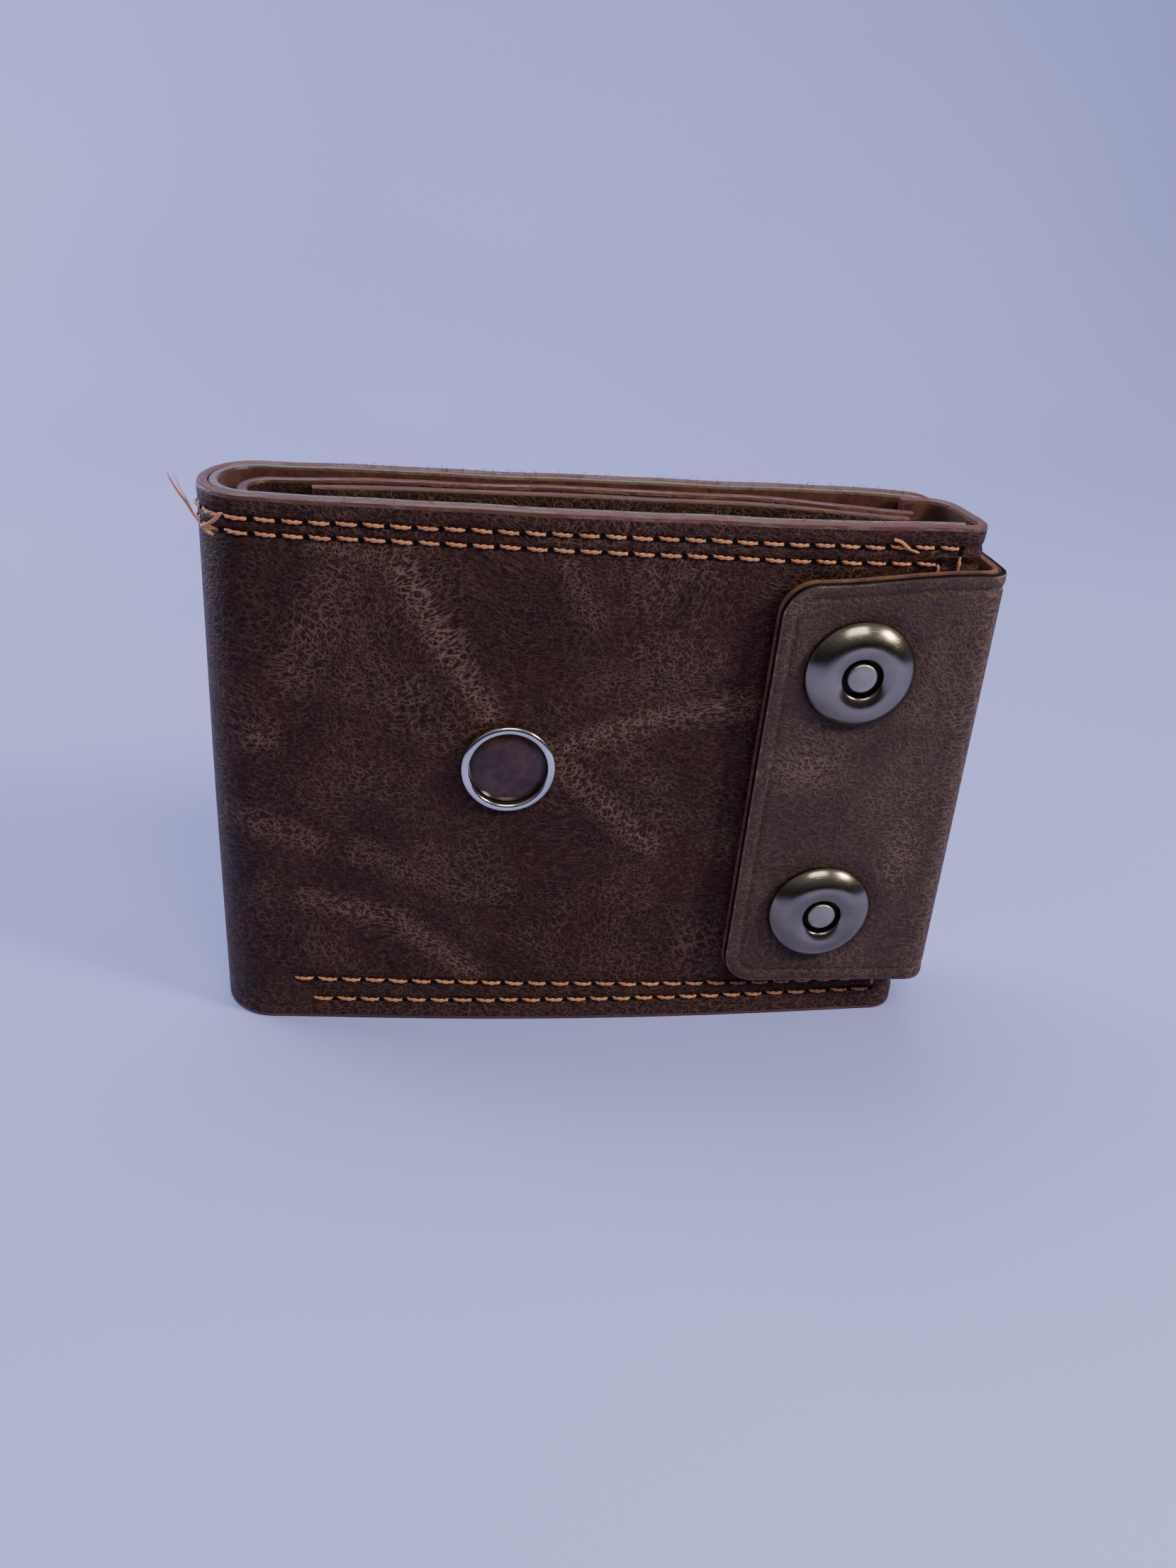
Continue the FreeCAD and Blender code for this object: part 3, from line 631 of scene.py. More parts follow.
def pull_up_leather(name, base, deep, vein, fleck=0.2):
    """Oiled leather: dark ground, lighter where it has been bent, in a fine net of crinkle lines."""
    g = Graph(name, rough=LEATHER_ROUGH, specular=0.14)
    flat = g.flat()
    wear = g.wear()
    drift = g.warped(flat, 0.045, 16.0)
    jitter = g.warped(g.warped(drift, 0.5, 0.9), 2.2, 0.35)
    long_cells = g.cells(g.scaled(jitter, (0.72, 1.1, 1.0)), 1.0)
    lines = g.span(long_cells, 0.17, 0.05)
    small_cells = g.cells(g.scaled(g.warped(jitter, 1.4, 0.4), (1.1, 1.6, 1.0)), 1.1)
    small = g.span(small_cells, 0.16, 0.04)
    broken = g.span(g.noise(flat, 0.9, 5.0, 0.75), 0.4, 0.52)
    patch = g.span(g.noise(drift, 0.05, 4.0, 0.65), 0.42, 0.66)
    # wear lightens the crinkle; at the cover's foot it also carries painted bounce light from the floor
    amount = g.math("MAXIMUM", wear, g.plus(g.times(patch, 0.36), 0.16))
    strokes = g.math("MAXIMUM", lines, g.times(small, 0.8))
    crinkle = g.times(g.times(strokes, broken), amount)
    flecks = g.span(g.noise(g.scaled(drift, (0.9, 1.5, 1.0)), 1.5, 4.0, 0.7), 0.53, 0.62)
    light = g.math("MINIMUM", g.plus(crinkle, g.times(flecks, fleck)), 1.0)
    ground = g.mix(g.span(g.noise(drift, 0.09, 4.0, 0.6), 0.35, 0.65), deep, base)
    hazy = g.mix(g.times(amount, LEATHER_HAZE), ground, vein)
    g.set("Base Color", g.mix(light, hazy, vein))
    satin = g.span(g.noise(flat, 0.35, 4.0, 0.6), 0.3, 0.7,
                   LEATHER_ROUGH - 0.06, LEATHER_ROUGH + 0.1)
    g.set("Roughness", g.plus(satin, g.times(light, 0.12)))
    pebble = g.cells(g.warped(flat, 1.1, 0.4), 1.9, "F1")
    fine = g.times(g.noise(flat, 2.6, 3.0), 0.5)
    grain = g.plus(g.times(pebble, 0.5), fine)
    grain = g.math("SUBTRACT", grain, g.times(strokes, 0.5))
    g.bump(grain, 0.00014, 0.8)
    return g.material


def edge_paint(name, dark, worn, fuzz):
    """Painted cut edge, glossy, rubbed through to the fibres in places."""
    g = Graph(name, rough=0.35, specular=0.3)
    flat = g.flat()
    long_way = g.scaled(flat, (0.35, 1.0, 2.2))
    rub = g.span(g.noise(long_way, 0.5, 5.0, 0.7), 0.5, 0.64)
    fibre = g.noise(g.scaled(flat, (1.0, 2.0, 3.0)), 3.0, 3.0)
    colour = g.mix(rub, dark, worn)
    colour = g.mix(g.times(g.span(fibre, 0.55, 0.75), g.times(rub, fuzz)),
                   colour, rgb(142, 120, 102))
    g.set("Base Color", colour)
    g.set("Roughness", g.span(rub, 0.0, 1.0, 0.3, 0.75))
    rough_bits = g.times(g.noise(flat, 2.4, 4.0, 0.7), g.plus(rub, 0.25))
    g.bump(rough_bits, 0.00018, 0.8)
    return g.material


def bare_edge(name, paint, tan, grey):
    """A cut edge that is painted where wear is 0, and bare felted fibres where it is 1."""
    g = Graph(name, rough=0.8, sheen=0.25, specular=0.3)
    flat = g.flat()
    clumps = g.noise(g.scaled(flat, (0.5, 1.0, 1.6)), 0.7, 5.0, 0.7)
    fibre = g.noise(g.scaled(flat, (0.8, 3.0, 3.0)), 2.6, 4.0, 0.7)
    bare = g.times(g.wear(), g.span(clumps, 0.36, 0.52))
    fuzz = g.mix(g.span(fibre, 0.35, 0.65), tan, grey)
    g.set("Base Color", g.mix(bare, paint, fuzz))
    g.set("Roughness", g.span(bare, 0.0, 0.6, 0.32, 0.95))
    lumps = g.plus(g.times(fibre, bare), g.times(clumps, 0.6))
    g.bump(lumps, 0.0004, 0.9)
    return g.material


def enamel(name, deep, light):
    """Fired enamel under a clear glaze, with a faint cloud in its colour."""
    g = Graph(name, rough=0.3, coat=0.15, specular=0.3)
    place = g.object_place()
    cloud = g.noise(place, 420.0, 5.0, 0.65)
    g.set("Base Color", g.mix(g.span(cloud, 0.35, 0.68), deep, light))
    g.bump(g.noise(place, 260.0), 0.00002, 0.5)
    return g.material


def suede(name, base, light, sheen=0.12):
    """Soft split leather, any felted or matt dark surface, and the painted shade in the needle holes."""
    g = Graph(name, rough=0.95, sheen=sheen, specular=0.1)
    flat = g.flat()
    cloud = g.noise(g.warped(flat, 0.3, 2.0), 0.35, 4.0, 0.65)
    fibre = g.noise(g.scaled(flat, (2.5, 1.0, 2.0)), 2.4, 5.0, 0.75)
    tone = g.plus(g.times(cloud, 0.5), g.times(fibre, 0.5))
    g.set("Base Color", g.mix(g.span(tone, 0.36, 0.64), base, light))
    g.bump(fibre, 0.0003, 0.9)
    return g.material


def thread_material(name, base, light):
    """Waxed thread: fibres along it, and dirt in places."""
    g = Graph(name, rough=0.55, sheen=0.3, specular=0.4)
    flat = g.flat()
    fibres = g.noise(g.scaled(flat, (1.0, 5.0, 5.0)), 2.2, 4.0, 0.7)
    dirt = g.span(g.noise(flat, 0.16, 3.0), 0.35, 0.7)
    colour = g.mix(g.span(fibres, 0.3, 0.7), base, light)
    g.set("Base Color", g.mix(g.times(dirt, 0.3), colour, rgb(96, 58, 36)))
    g.bump(fibres, 0.00008, 0.8)
    return g.material


def metal(name, base, dull, rough, scuff=0.15):
    """Plated metal with a dull haze and fine scratches."""
    g = Graph(name, rough=rough, metal=1.0)
    coordinates = g.object_place()
    haze = g.span(g.noise(coordinates, 160.0, 4.0, 0.6), 0.35, 0.75)
    scratches = g.noise(g.scaled(coordinates, (1.0, 1.0, 9.0)), 700.0, 3.0, 0.7)
    g.set("Base Color", g.mix(g.times(haze, 0.6), base, dull))
    marks = g.span(scratches, 0.55, 0.75, rough, rough + scuff)
    g.set("Roughness", g.plus(marks, g.times(haze, 0.05)))
    g.bump(scratches, 0.000004, 0.5)
    return g.material


COVER_LEATHER = pull_up_leather("cover_leather", rgb(43, 14, 10), rgb(30, 9, 7), rgb(110, 84, 64))
STRAP_FACE = pull_up_leather("strap_leather", rgb(60, 44, 39), rgb(50, 36, 32), rgb(114, 90, 72), 0.18)
PANEL_LEATHER = pull_up_leather("panel_leather", rgb(40, 18, 15), rgb(28, 11, 9), rgb(92, 70, 54))
EDGE = edge_paint("edge_paint", rgb(86, 54, 47), rgb(100, 74, 58), 0.5)
PANEL_EDGE = edge_paint("panel_edge", rgb(82, 48, 41), rgb(96, 66, 50), 0.6)
LINING_EDGE = bare_edge("lining_edge", rgb(72, 42, 36), rgb(98, 74, 58), rgb(112, 94, 84))
STRAP_EDGE = edge_paint("strap_edge", rgb(70, 52, 46), rgb(112, 84, 64), 0.6)
BLACK_EDGE = suede("strap_core", rgb(10, 9, 10), rgb(36, 31, 32), sheen=0.0)
RAW_EDGE = suede("strap_raw_edge", rgb(66, 29, 21), rgb(112, 62, 46))
SUEDE = suede("suede_lining", rgb(58, 28, 21), rgb(96, 56, 42))
STRAP_SUEDE = suede("strap_lining", rgb(84, 46, 34), rgb(136, 90, 66))
FLESH = suede("flesh_side", rgb(16, 13, 13), rgb(44, 35, 34), sheen=0.05)
THREAD = thread_material("thread", rgb(162, 90, 42), rgb(214, 148, 86))
# painted shade: near-black matt discs standing in for the dark inside of each needle hole
HOLE_SHADE = suede("needle_hole_shade", rgb(8, 6, 6), rgb(16, 12, 12), sheen=0.0)
NICKEL = metal("snap_nickel", rgb(134, 124, 106), rgb(98, 90, 78), 0.18)
# painted shade: dull dark metal for the deep recess round each cap's post, which would otherwise catch
# bounced light
RECESS_SHADE = metal("snap_recess_shade", rgb(34, 31, 29), rgb(22, 20, 19), 0.4)
ZINC = metal("rivet_zinc", rgb(164, 158, 140), rgb(120, 114, 100), 0.42, 0.2)
CHROME = metal("badge_chrome", rgb(204, 200, 190), rgb(168, 164, 156), 0.12)
ENAMEL = enamel("badge_enamel", rgb(38, 20, 17), rgb(66, 42, 32))


# ---- where things fold, and how pieces are placed ----
LEAN_SLOPE = 0.035           # how fast the fold leans back with height
SEAM_ROOM = 0.05


def row_point(x, y):
    place = to_row((x, y, 0.0))
    return (float(place[0]), float(place[1]), 0.0)


def fold_limits(part, centre, radius):
    """Where one third of the fold starts and stops turning. The outer thirds go by x, which the lean
    doesn't change. The middle one goes by y along the lean, and stays clear of both its seams, so
    that neighbours meet at every height."""
    x, y = centre
    reach = radius * math.sin(math.pi / 3.0)
    if part == 0:
        return row_point(x, y), row_point(x - reach, y)
    if part == 2:
        return row_point(x - reach, y), row_point(x, y)
    slack = LEAN_SLOPE * CALM_HEIGHT + SEAM_ROOM
    low = row_point(x, y + radius / 2.0 - slack)
    length = MM * (radius - slack) / (1.0 + LEAN_SLOPE ** 2)
    return low, (low[0], low[1] - length, length * LEAN_SLOPE)


def attach(piece, body, nodes, slot, part=None, centre=FOLD_CENTRE, radius=FOLD_OUTER - LEATHER):
    """Rides on a body, or for a third of the fold is baked in place; the third's limits are worked out but
    not used.
    """
    if part is None:
        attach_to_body(piece, body)
    else:
        start, end = fold_limits(part, centre, radius)
        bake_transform(piece)
    if nodes is not None:
        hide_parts(*nodes)


# ---- wear ----
STREAKS = (                   # x, z of both ends, width and strength, seen from the front
    (17.6, 81.3, 28.7, 79.6, 2.4, 0.7),
    (28.7, 79.6, 36.8, 65.8, 3.2, 1.0),
    (36.8, 65.8, 42.2, 56.7, 2.6, 1.0),
    (14.0, 62.0, 20.5, 77.0, 5.0, 0.6),
    (54.9, 52.1, 67.9, 57.1, 2.6, 1.0),
    (67.9, 57.1, 82.1, 59.0, 2.8, 0.8),
    (51.4, 50.6, 68.5, 34.1, 3.0, 0.8),
    (52.0, 82.9, 57.1, 72.4, 2.8, 0.6),
    (14.2, 23.9, 28.5, 20.0, 2.8, 0.8),
    (28.5, 20.0, 40.4, 9.9, 2.8, 0.9),
    (4.2, 38.2, 15.7, 34.0, 3.0, 0.7),
    (22.9, 32.6, 40.0, 25.4, 3.4, 0.6),
    (7.0, 51.6, 8.6, 51.6, 3.0, 0.8),
)


def cover_wear(s, z):
    """Where the leather is lighter: a few soft worn streaks, the fold, and the foot, which is partly worn
    and partly painted light bounced from the floor.
    """
    x = FOLD_OUTER + (s - FOLD_HALF)
    total = np.full_like(s, 0.08)
    for x1, z1, x2, z2, width, strength in STREAKS:
        dx = x2 - x1
        dz = z2 - z1
        share = np.clip(((x - x1) * dx + (z - z1) * dz) / (dx * dx + dz * dz), 0.0, 1.0)
        away = np.hypot(x - x1 - dx * share, z - z1 - dz * share)
        total = np.maximum(total, strength * bell(away / width))
    fold = 0.42 * bell(s / 9.0)
    # the lighter foot is partly wear and partly painted bounce light from the floor
    foot = 0.45 * bell(z / 9.0)
    return np.clip(np.maximum(total, np.maximum(fold, foot)), 0.0, 1.0)


def strap_wear(s, z):
    """Lighter at the front bend, in a patch between the caps and in one beside the lower cap."""
    bend = 0.6 * bell((s - SIDE_START) / 5.0)
    middle = 0.75 * bell((s - 8.0) / 7.0, (z - 50.0) / 4.5)
    low = 0.7 * bell((s - 26.0) / 4.0, (z - 35.0) / 8.0)
    return np.clip(np.maximum(np.maximum(bend, middle), low) + 0.1, 0.0, 1.0)


def plain_wear(s, z):
    """The inside is worn evenly."""
    return np.full_like(s, 0.2)


# ---- cover, lining and inner panel ----
TOP_ROWS = (85.2, 83.0)
BOTTOM_ROWS = (4.4, 7.5)
GROOVE_STEP = 0.45
GROOVE_REACH = range(-5, 3)  # steps below and above a row that get a closer grid
GROOVE_LINES = [row + GROOVE_STEP * k for row in TOP_ROWS + BOTTOM_ROWS for k in GROOVE_REACH]
TOP_RAISE = (0.1, 0.2)       # the top rows start this much higher, and fall along the leather
TOP_FALL = (0.6, 1.05)
TOP_SETTLE = 0.6
ROW_START_X = (14.4, 11.4)   # where the bottom rows begin
ROW_GROOVE = 0.3             # depth and half width of the groove a row makes
ROW_WIDTH = 0.55
BADGE_DENT = (0.28, 7.4, 0.8)  # depth, radius and half width of the ring pressed in round the badge
CAP_DENT = (0.32, 8.9, 0.9)  # the same round a cap, and how deep the cap sits
CAP_SEAT = 0.3


def top_row(index, s):
    """Height of a top row along the leather: it runs slightly downhill to the open end."""
    x = np.abs(s)
    settle = TOP_SETTLE * (1.0 - smooth(15.0, 85.0, x))
    return TOP_ROWS[index] + TOP_RAISE[index] - TOP_FALL[index] * smooth(12.0, 115.0, x) - settle


def bottom_row(index, s):
    """The lower row climbs a little along the leather and the upper one falls."""
    x = np.abs(s)
    if index == 0:
        return 4.1 + 0.5 * smooth(20.0, 120.0, x)
    return 8.1 - 1.2 * smooth(10.0, 110.0, x)


def row_starts(index):
    return FOLD_HALF + ROW_START_X[index] - FOLD_OUTER


def cover_relief(s, z):
    """Stitch rows pull the leather in; it is pressed down round the badge."""
    depth = np.zeros_like(s)
    for index in (0, 1):
        depth += ROW_GROOVE * bell((z - top_row(index, s)) / ROW_WIDTH)
        along = smooth(row_starts(index) - 1.5, row_starts(index) + 0.5, np.abs(s))
        depth += ROW_GROOVE * bell((z - bottom_row(index, s)) / ROW_WIDTH) * along
    x = FOLD_OUTER + (s - FOLD_HALF)
    dent, radius, width = BADGE_DENT
    away = np.hypot(x - BADGE_X, z - BADGE_Z)
    depth += np.where(s > 0, dent * bell((away - radius) / width), 0.0)
    return depth


def lining_wear(s, z):
    """The lining's cut edge is painted round the fold and bare along the sides."""
    return smooth(FOLD_HALF + 4.0, FOLD_HALF + 22.0, np.abs(s))


def with_back(rim, bands):
    """After so many bands in material 1, the rest of the rim and the back face are in material 2."""
    return [(inset, depth, 1 if k < bands else 2) for k, (inset, depth, _) in enumerate(rim)]


LAYERS = {
    # slot, bottom and top, rim, bend, materials, wear, grid steps on a half and in the fold,
    # centre and inner radius of the fold, and the nodes it stands for in the fold
    "outer_cover": (
        "cover_leather", (0.0, HEIGHT), with_back(rim_profile(0.0, LEATHER, 0.75), 5), bend_cover,
        (COVER_LEATHER, EDGE, SUEDE), cover_wear, (1.0, 0.9), FOLD_CENTRE, FOLD_OUTER - LEATHER,
        "cover_fold_",
    ),
    "inner_lining": (
        "suede_lining", (0.1, HEIGHT - 0.1),
        with_back(rim_profile(LEATHER + 0.02, COVER, 0.45, 4), 4), bend_cover,
        (SUEDE, LINING_EDGE, SUEDE), lining_wear, (1.4, 0.9), FOLD_CENTRE, FOLD_OUTER - COVER,
        "lining_fold_",
    ),
    "inner_panel": (
        "panel_leather", (1.0, HEIGHT - 1.0), with_back(rim_profile(0.0, PANEL, 0.6), 5), bend_panel,
        (FLESH, PANEL_EDGE, PANEL_LEATHER), plain_wear, (1.3, 0.8), PANEL_CENTRE,
        PANEL_OUTER - PANEL, "note_panel_fold_",
    ),
}


def layer_piece(layer, place, s, cut, body, nodes, part=None, radii=(0.0, 0.0)):
    """One piece of a layer: a half of the wallet, or a third of the fold."""
    slot, z, rim, bend, materials, wear, steps, centre, radius, _ = LAYERS[layer]
    cover = layer == "outer_cover"
    piece = sheet_mesh(
        layer + "_" + place, s, z, rim, bend, materials, wear, steps[part is not None], cut, radii,
        GROOVE_LINES if cover else (), cover_relief if cover else None,
    )
    attach(piece, body, nodes, slot, part, centre, radius)


def third(part, half):
    """The stretch of leather in one third of a fold."""
    low = -1.0 + 2.0 * part / 3.0
    return low * half, (low + 2.0 / 3.0) * half


END_RADIUS = 8.0
LINING_GAP = 0.15            # the lining ends this far inside the cover
OPEN_BACK = (False, True)    # which end of a piece is a cut against its neighbour
OPEN_FRONT = (True, False)
HALF_PIECES = (
    ("outer_cover", "back", (BACK_END, -FOLD_HALF), ["cover_back"], (END_RADIUS, 0.0)),
    ("outer_cover", "front", (FOLD_HALF, FRONT_FLAP + FLAP), ["cover_front", "cover_turned_edge"],
     (0.0, 0.0)),
    ("inner_lining", "back", (BACK_END + LINING_GAP, -FOLD_HALF), ["lining_back"],
     (END_RADIUS - LINING_GAP, 0.0)),
    ("inner_lining", "front", (FOLD_HALF, FRONT_TURN - 0.4), ["lining_front"], (0.0, 0.0)),
    ("inner_panel", "back", (PANEL_X - PANEL_BACK_END - PANEL_HALF, -PANEL_HALF), ["note_panel_back"],
     (0.0, 0.0)),
    ("inner_panel", "front", (PANEL_HALF, PANEL_HALF + PANEL_FRONT_END - PANEL_X),
     ["note_panel_front"], (0.0, 0.0)),
)
for layer, half, stretch, nodes, radii in HALF_PIECES:
    cut = OPEN_BACK if half == "back" else OPEN_FRONT
    layer_piece(layer, half, stretch, cut, half + "_half", nodes, radii=radii)
for part in range(3):
    for layer, settings in LAYERS.items():
        half_length = PANEL_HALF if layer == "inner_panel" else FOLD_HALF
        nodes = [settings[-1] + str(part)] if part else []
        layer_piece(
            layer, "fold_" + str(part + 1), third(part, half_length), (True, True), None, nodes, part
        )


# ---- card slots ----
def bend_slot(face, thick, side):
    """A card slot leaf at one depth inside the wallet: side 1 is on the front half, -1 on the back."""

    def bend(s, z, d):
        droop = 0.12 * np.sin(s / 17.0 + face) * smooth(10.0, 60.0, z)
        if side > 0:
            y = face + thick - d + front_shift(s, z) + GATHER_FRONT * gather(s, z)
        else:
            y = face + d + back_shift(s, z) + sag(s, z) - GATHER_BACK * gather(s, z)
        return np.stack((s, y + droop, z + ripple(s, 0.0 * s, 0.1, 40.0)), axis=-1)

    return bend


SLOT_LEFT = 16.0
TOP_SLOT = 1.6
SLOT = 0.6
BACK_SLOTS = ((9.1, TOP_SLOT, 40.0, 86.4), (8.4, SLOT, 26.0, 68.0), (7.7, SLOT, 2.0, 54.0))
FRONT_SLOTS = ((4.9, TOP_SLOT, 30.0, 86.2), (6.6, SLOT, 2.0, 60.0))
CREASE_LINE = ((3.0, 0.0, 0), (2.75, 0.1, 0), (2.5, 0.0, 0))
SLOT_SETS = (
    ("back", BACK_SLOTS, (SLOT_LEFT, PANEL_BACK_END - 1.0), -1),
    ("front", FRONT_SLOTS, (SLOT_LEFT, LENGTH - 4.6), 1),
)


def mirrored(bend, x):
    """The same leaf drawn from its other end, so that its front face looks the other way."""
    return lambda s, z, d: bend(x[0] + x[1] - s, z, d)


for half, leaves, x_range, side in SLOT_SETS:
    for index, (face, thick, low, high) in enumerate(leaves):
        name = half + "_" + str(index + 1)
        bend = bend_slot(face, thick, side)
        if side > 0:
            bend = mirrored(bend, x_range)
        piece = sheet_mesh(
            "card_pocket_" + name, x_range, (low, high),
            list(CREASE_LINE) + rim_profile(0.0, thick, 0.4, 4), bend,
            (PANEL_LEATHER, EDGE, FLESH), plain_wear, 1.6,
        )
        attach(piece, half + "_half", ["card_slot_" + name], "panel_leather")


# ---- strap ----
def strap_relief(s, z):
    """The caps press the leaf in round their rims."""
    depth = np.zeros_like(s)
    x = LEAF_LEFT + s
    dent, radius, width = CAP_DENT
    for place in SNAP_Z.values():
        away = np.hypot(x - SNAP_X, z - place)
        depth += dent * bell((away - radius) / width)
        depth += CAP_SEAT * (1.0 - smooth(7.5, 9.0, away))
    return depth


BORDER = ((3.1, 0.0, 0), (2.75, 0.05, 0), (2.45, 0.2, 0), (2.2, 0.22, 0), (1.95, 0.07, 0), (1.4, -0.04, 0),
          (0.9, -0.02, 0))   # a line pressed in beside the edge, which stands up a little
STRAP_BANDS = (1, 3, 3, 4, 4, 2)
strap_rim = list(BORDER) + [
    (inset, depth, STRAP_BANDS[k])
    for k, (inset, depth, _) in enumerate(rim_profile(0.0, STRAP_LEATHER, 0.5))
]
strap_lining_rim = rim_profile(STRAP_LEATHER + 0.02, STRAP_TOTAL, 0.35, 4)
LEAF_RADIUS = 5.5
CORNER_INNER = CORNER - STRAP_TOTAL
FRONT_LIMITS = (
    row_point(CORNER_X + CORNER_INNER, CORNER_FRONT_Y), row_point(CORNER_X, CORNER_FRONT_Y - CORNER_INNER)
)
BACK_LIMITS = (
    row_point(CORNER_X, CORNER_BACK_Y + CORNER_INNER), row_point(CORNER_X + CORNER_INNER, CORNER_BACK_Y)
)
STRAP_PARTS = (
    # place, stretch, cut ends, corner radii, bodies, limits of the bend, grid step of leather and lining
    ("leaf", (0.0, LEAF_END), OPEN_BACK, (LEAF_RADIUS, 0.0), ("strap_leaf",), None, (0.8, 1.2)),
    ("front_corner", (LEAF_END, SIDE_START), (True, True), (0.0, 0.0), ("strap_side", "strap_leaf"),
     FRONT_LIMITS, (0.45, 0.45)),
    ("side", (SIDE_START, SIDE_END), (True, True), (0.0, 0.0), ("strap_side",), None, (1.2, 1.2)),
    ("back_corner", (SIDE_END, TAIL_START), (True, True), (0.0, 0.0), ("back_half", "strap_side"),
     BACK_LIMITS, (0.45, 0.45)),
    ("tail", (TAIL_START, TAIL_END), OPEN_FRONT, (0.0, LEAF_RADIUS), ("back_half",), None, (1.2, 1.2)),
)
STRAP_LAYERS = (
    # name, CAD layer, slot, rim, materials, how far past the ends, bottom and top
    ("outer", "leather", "strap_leather", strap_rim, (STRAP_FACE, STRAP_EDGE, FLESH, BLACK_EDGE, RAW_EDGE),
     0.0, (STRAP_BOTTOM, STRAP_TOP)),
    ("suede", "lining", "strap_lining", strap_lining_rim, (STRAP_SUEDE,) * 3,
     0.2, (STRAP_BOTTOM - 0.1, STRAP_TOP + 0.15)),
)
for place, (low, high), cut, radii, bodies, limits, steps in STRAP_PARTS:
    for step, (kind, layer, slot, rim, materials, past, z) in zip(steps, STRAP_LAYERS):
        stretch = (low - (0.0 if cut[0] else past), high + (0.0 if cut[1] else past))
        pressed = strap_relief if place == "leaf" and kind == "outer" else None
        piece = sheet_mesh(
            "strap_" + place + "_" + kind, stretch, z, rim, bend_strap, materials, strap_wear, step,
            cut, radii, relief=pressed,
        )
        if limits is None:
            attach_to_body(piece, bodies[0])
            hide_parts("strap_" + place + "_" + layer)
        else:
            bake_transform(piece)


# ---- stitching ----
STRAND = 0.18                # radius of each of a thread's two twisted strands
STITCH_STEPS = 19
STITCH_SIDES = 7
STITCH_LENGTH = 0.86         # of the pitch; the rest is the needle hole
STITCH_TILT = 0.055
STITCH_RISE = 0.22           # how far a stitch stands above the leather
STITCH_ENDS = 0.4            # and how deep its ends go
HOLE_SIDES = 12
HOLE_WIDTH = 0.5
HOLE_HEIGHT = 0.34
THREAD_SHARP = 60.0
RANDOM = np.random.default_rng(11)


def angles(count):
    return [2.0 * math.pi * k / count for k in range(count)]


def tube_faces(steps, sides, base=0):
    """Faces of a tube of rings, closed at both ends."""
    faces = []
    for k in range(steps - 1):
        for side in range(sides):
            a = base + k * sides + side
            b = base + k * sides + (side + 1) % sides
            faces.append((a, b, b + sides, a + sides))
    last = base + (steps - 1) * sides
    faces.append(tuple(base + side for side in range(sides - 1, -1, -1)))
    faces.append(tuple(last + side for side in range(sides)))
    return faces


def joined(shapes):
    """Several (points, faces) as one."""
    faces = []
    total = 0
    for points, local in shapes:
        faces += [tuple(v + total for v in face) for face in local]
        total += len(points)
    return np.concatenate([points for points, _ in shapes]), faces


def stitch_shape(length, slant, rise_by):
    """Two twisted strands from one needle hole to the next, in flat (s, z, depth)."""
    t = np.linspace(0.0, 1.0, STITCH_STEPS)
    lift = np.sin(math.pi * t) ** 0.5
    thick = STRAND * (0.6 + 0.4 * lift)
    middle_s = (t - 0.5) * length
    points = []
    faces = []
    for strand in (0.0, math.pi):
        twist = 2.0 * math.pi * 1.5 * t + strand + slant
        middle_z = 0.145 * np.cos(twist) * (0.3 + 0.7 * lift)
        middle_d = STITCH_ENDS - (STITCH_ENDS + rise_by) * lift + 0.11 * np.sin(twist)
        faces += tube_faces(STITCH_STEPS, STITCH_SIDES, len(points))
        for k in range(STITCH_STEPS):
            for angle in angles(STITCH_SIDES):
                z = middle_z[k] + thick[k] * math.cos(angle)
                points.append((middle_s[k], z, middle_d[k] + thick[k] * math.sin(angle)))
    return np.array(points), faces


def hole_shape():
    """A flat dark dish where the needle went in, painted with the shade of the hole's inside."""
    points = [(0.0, 0.0, 0.02)]
    points += [(HOLE_WIDTH * math.cos(a), HOLE_HEIGHT * math.sin(a), -0.035) for a in angles(HOLE_SIDES)]
    return np.array(points), [(0, 1 + k, 1 + (k + 1) % HOLE_SIDES) for k in range(HOLE_SIDES)]


def stitches(path, start, stop, upright=False):
    """Stitches and needle holes, the holes as dark discs of painted shade, along one row: flat points,
    faces and material numbers.
    """
    shapes = []
    numbers = []
    count = max(int(round((stop - start) / STITCH_PITCH)), 1)
    pitch = (stop - start) / count
    for k in range(count):
        centre = start + pitch * (k + 0.5)
        length = STITCH_LENGTH * pitch + RANDOM.uniform(-0.15, 0.12)
        tilt = STITCH_TILT + RANDOM.uniform(-0.03, 0.03)
        slant = RANDOM.uniform(0.0, 3.1)
        strands = stitch_shape(length, slant, STITCH_RISE + RANDOM.uniform(-0.04, 0.05))
        for number, middle, shape in ((0, centre, strands), (1, centre + pitch / 2.0, hole_shape())):
            local, faces = shape
            along = middle + local[:, 0]
            off = local[:, 1] - tilt * local[:, 0] + RANDOM.uniform(-0.04, 0.04)
            line = path(np.full_like(along, middle)) + off
            place = (line, along) if upright else (along, line)
            shapes.append((np.stack((*place, local[:, 2]), axis=-1), faces))
            numbers += [number] * len(faces)
    return *joined(shapes), numbers


def stitching(name, bend, runs, nodes, body, part=None):
    """Rows of stitches as one piece; each run is a path, its start and stop, and if it is upright."""
    made = [stitches(*run) for run in runs]
    flat, faces = joined([(points, local) for points, local, _ in made])
    numbers = [number for _, _, row_numbers in made for number in row_numbers]
    points = bend(flat[:, 0], flat[:, 1], flat[:, 2])
    # the second material is the painted shade in the needle holes
    piece = plan_mesh(name, points, faces, (THREAD, HOLE_SHADE), THREAD_SHARP, numbers, flat)
    attach(piece, body, nodes, "thread", part)


def row(kind, index):
    return lambda s: kind(index, s)


def rows(kind, starts, stops):
    """Both rows of a pair, as runs for stitching."""
    return [(row(kind, k), starts[k], stops[k]) for k in (0, 1)]


def constant(value):
    return lambda s: np.full_like(s, value)


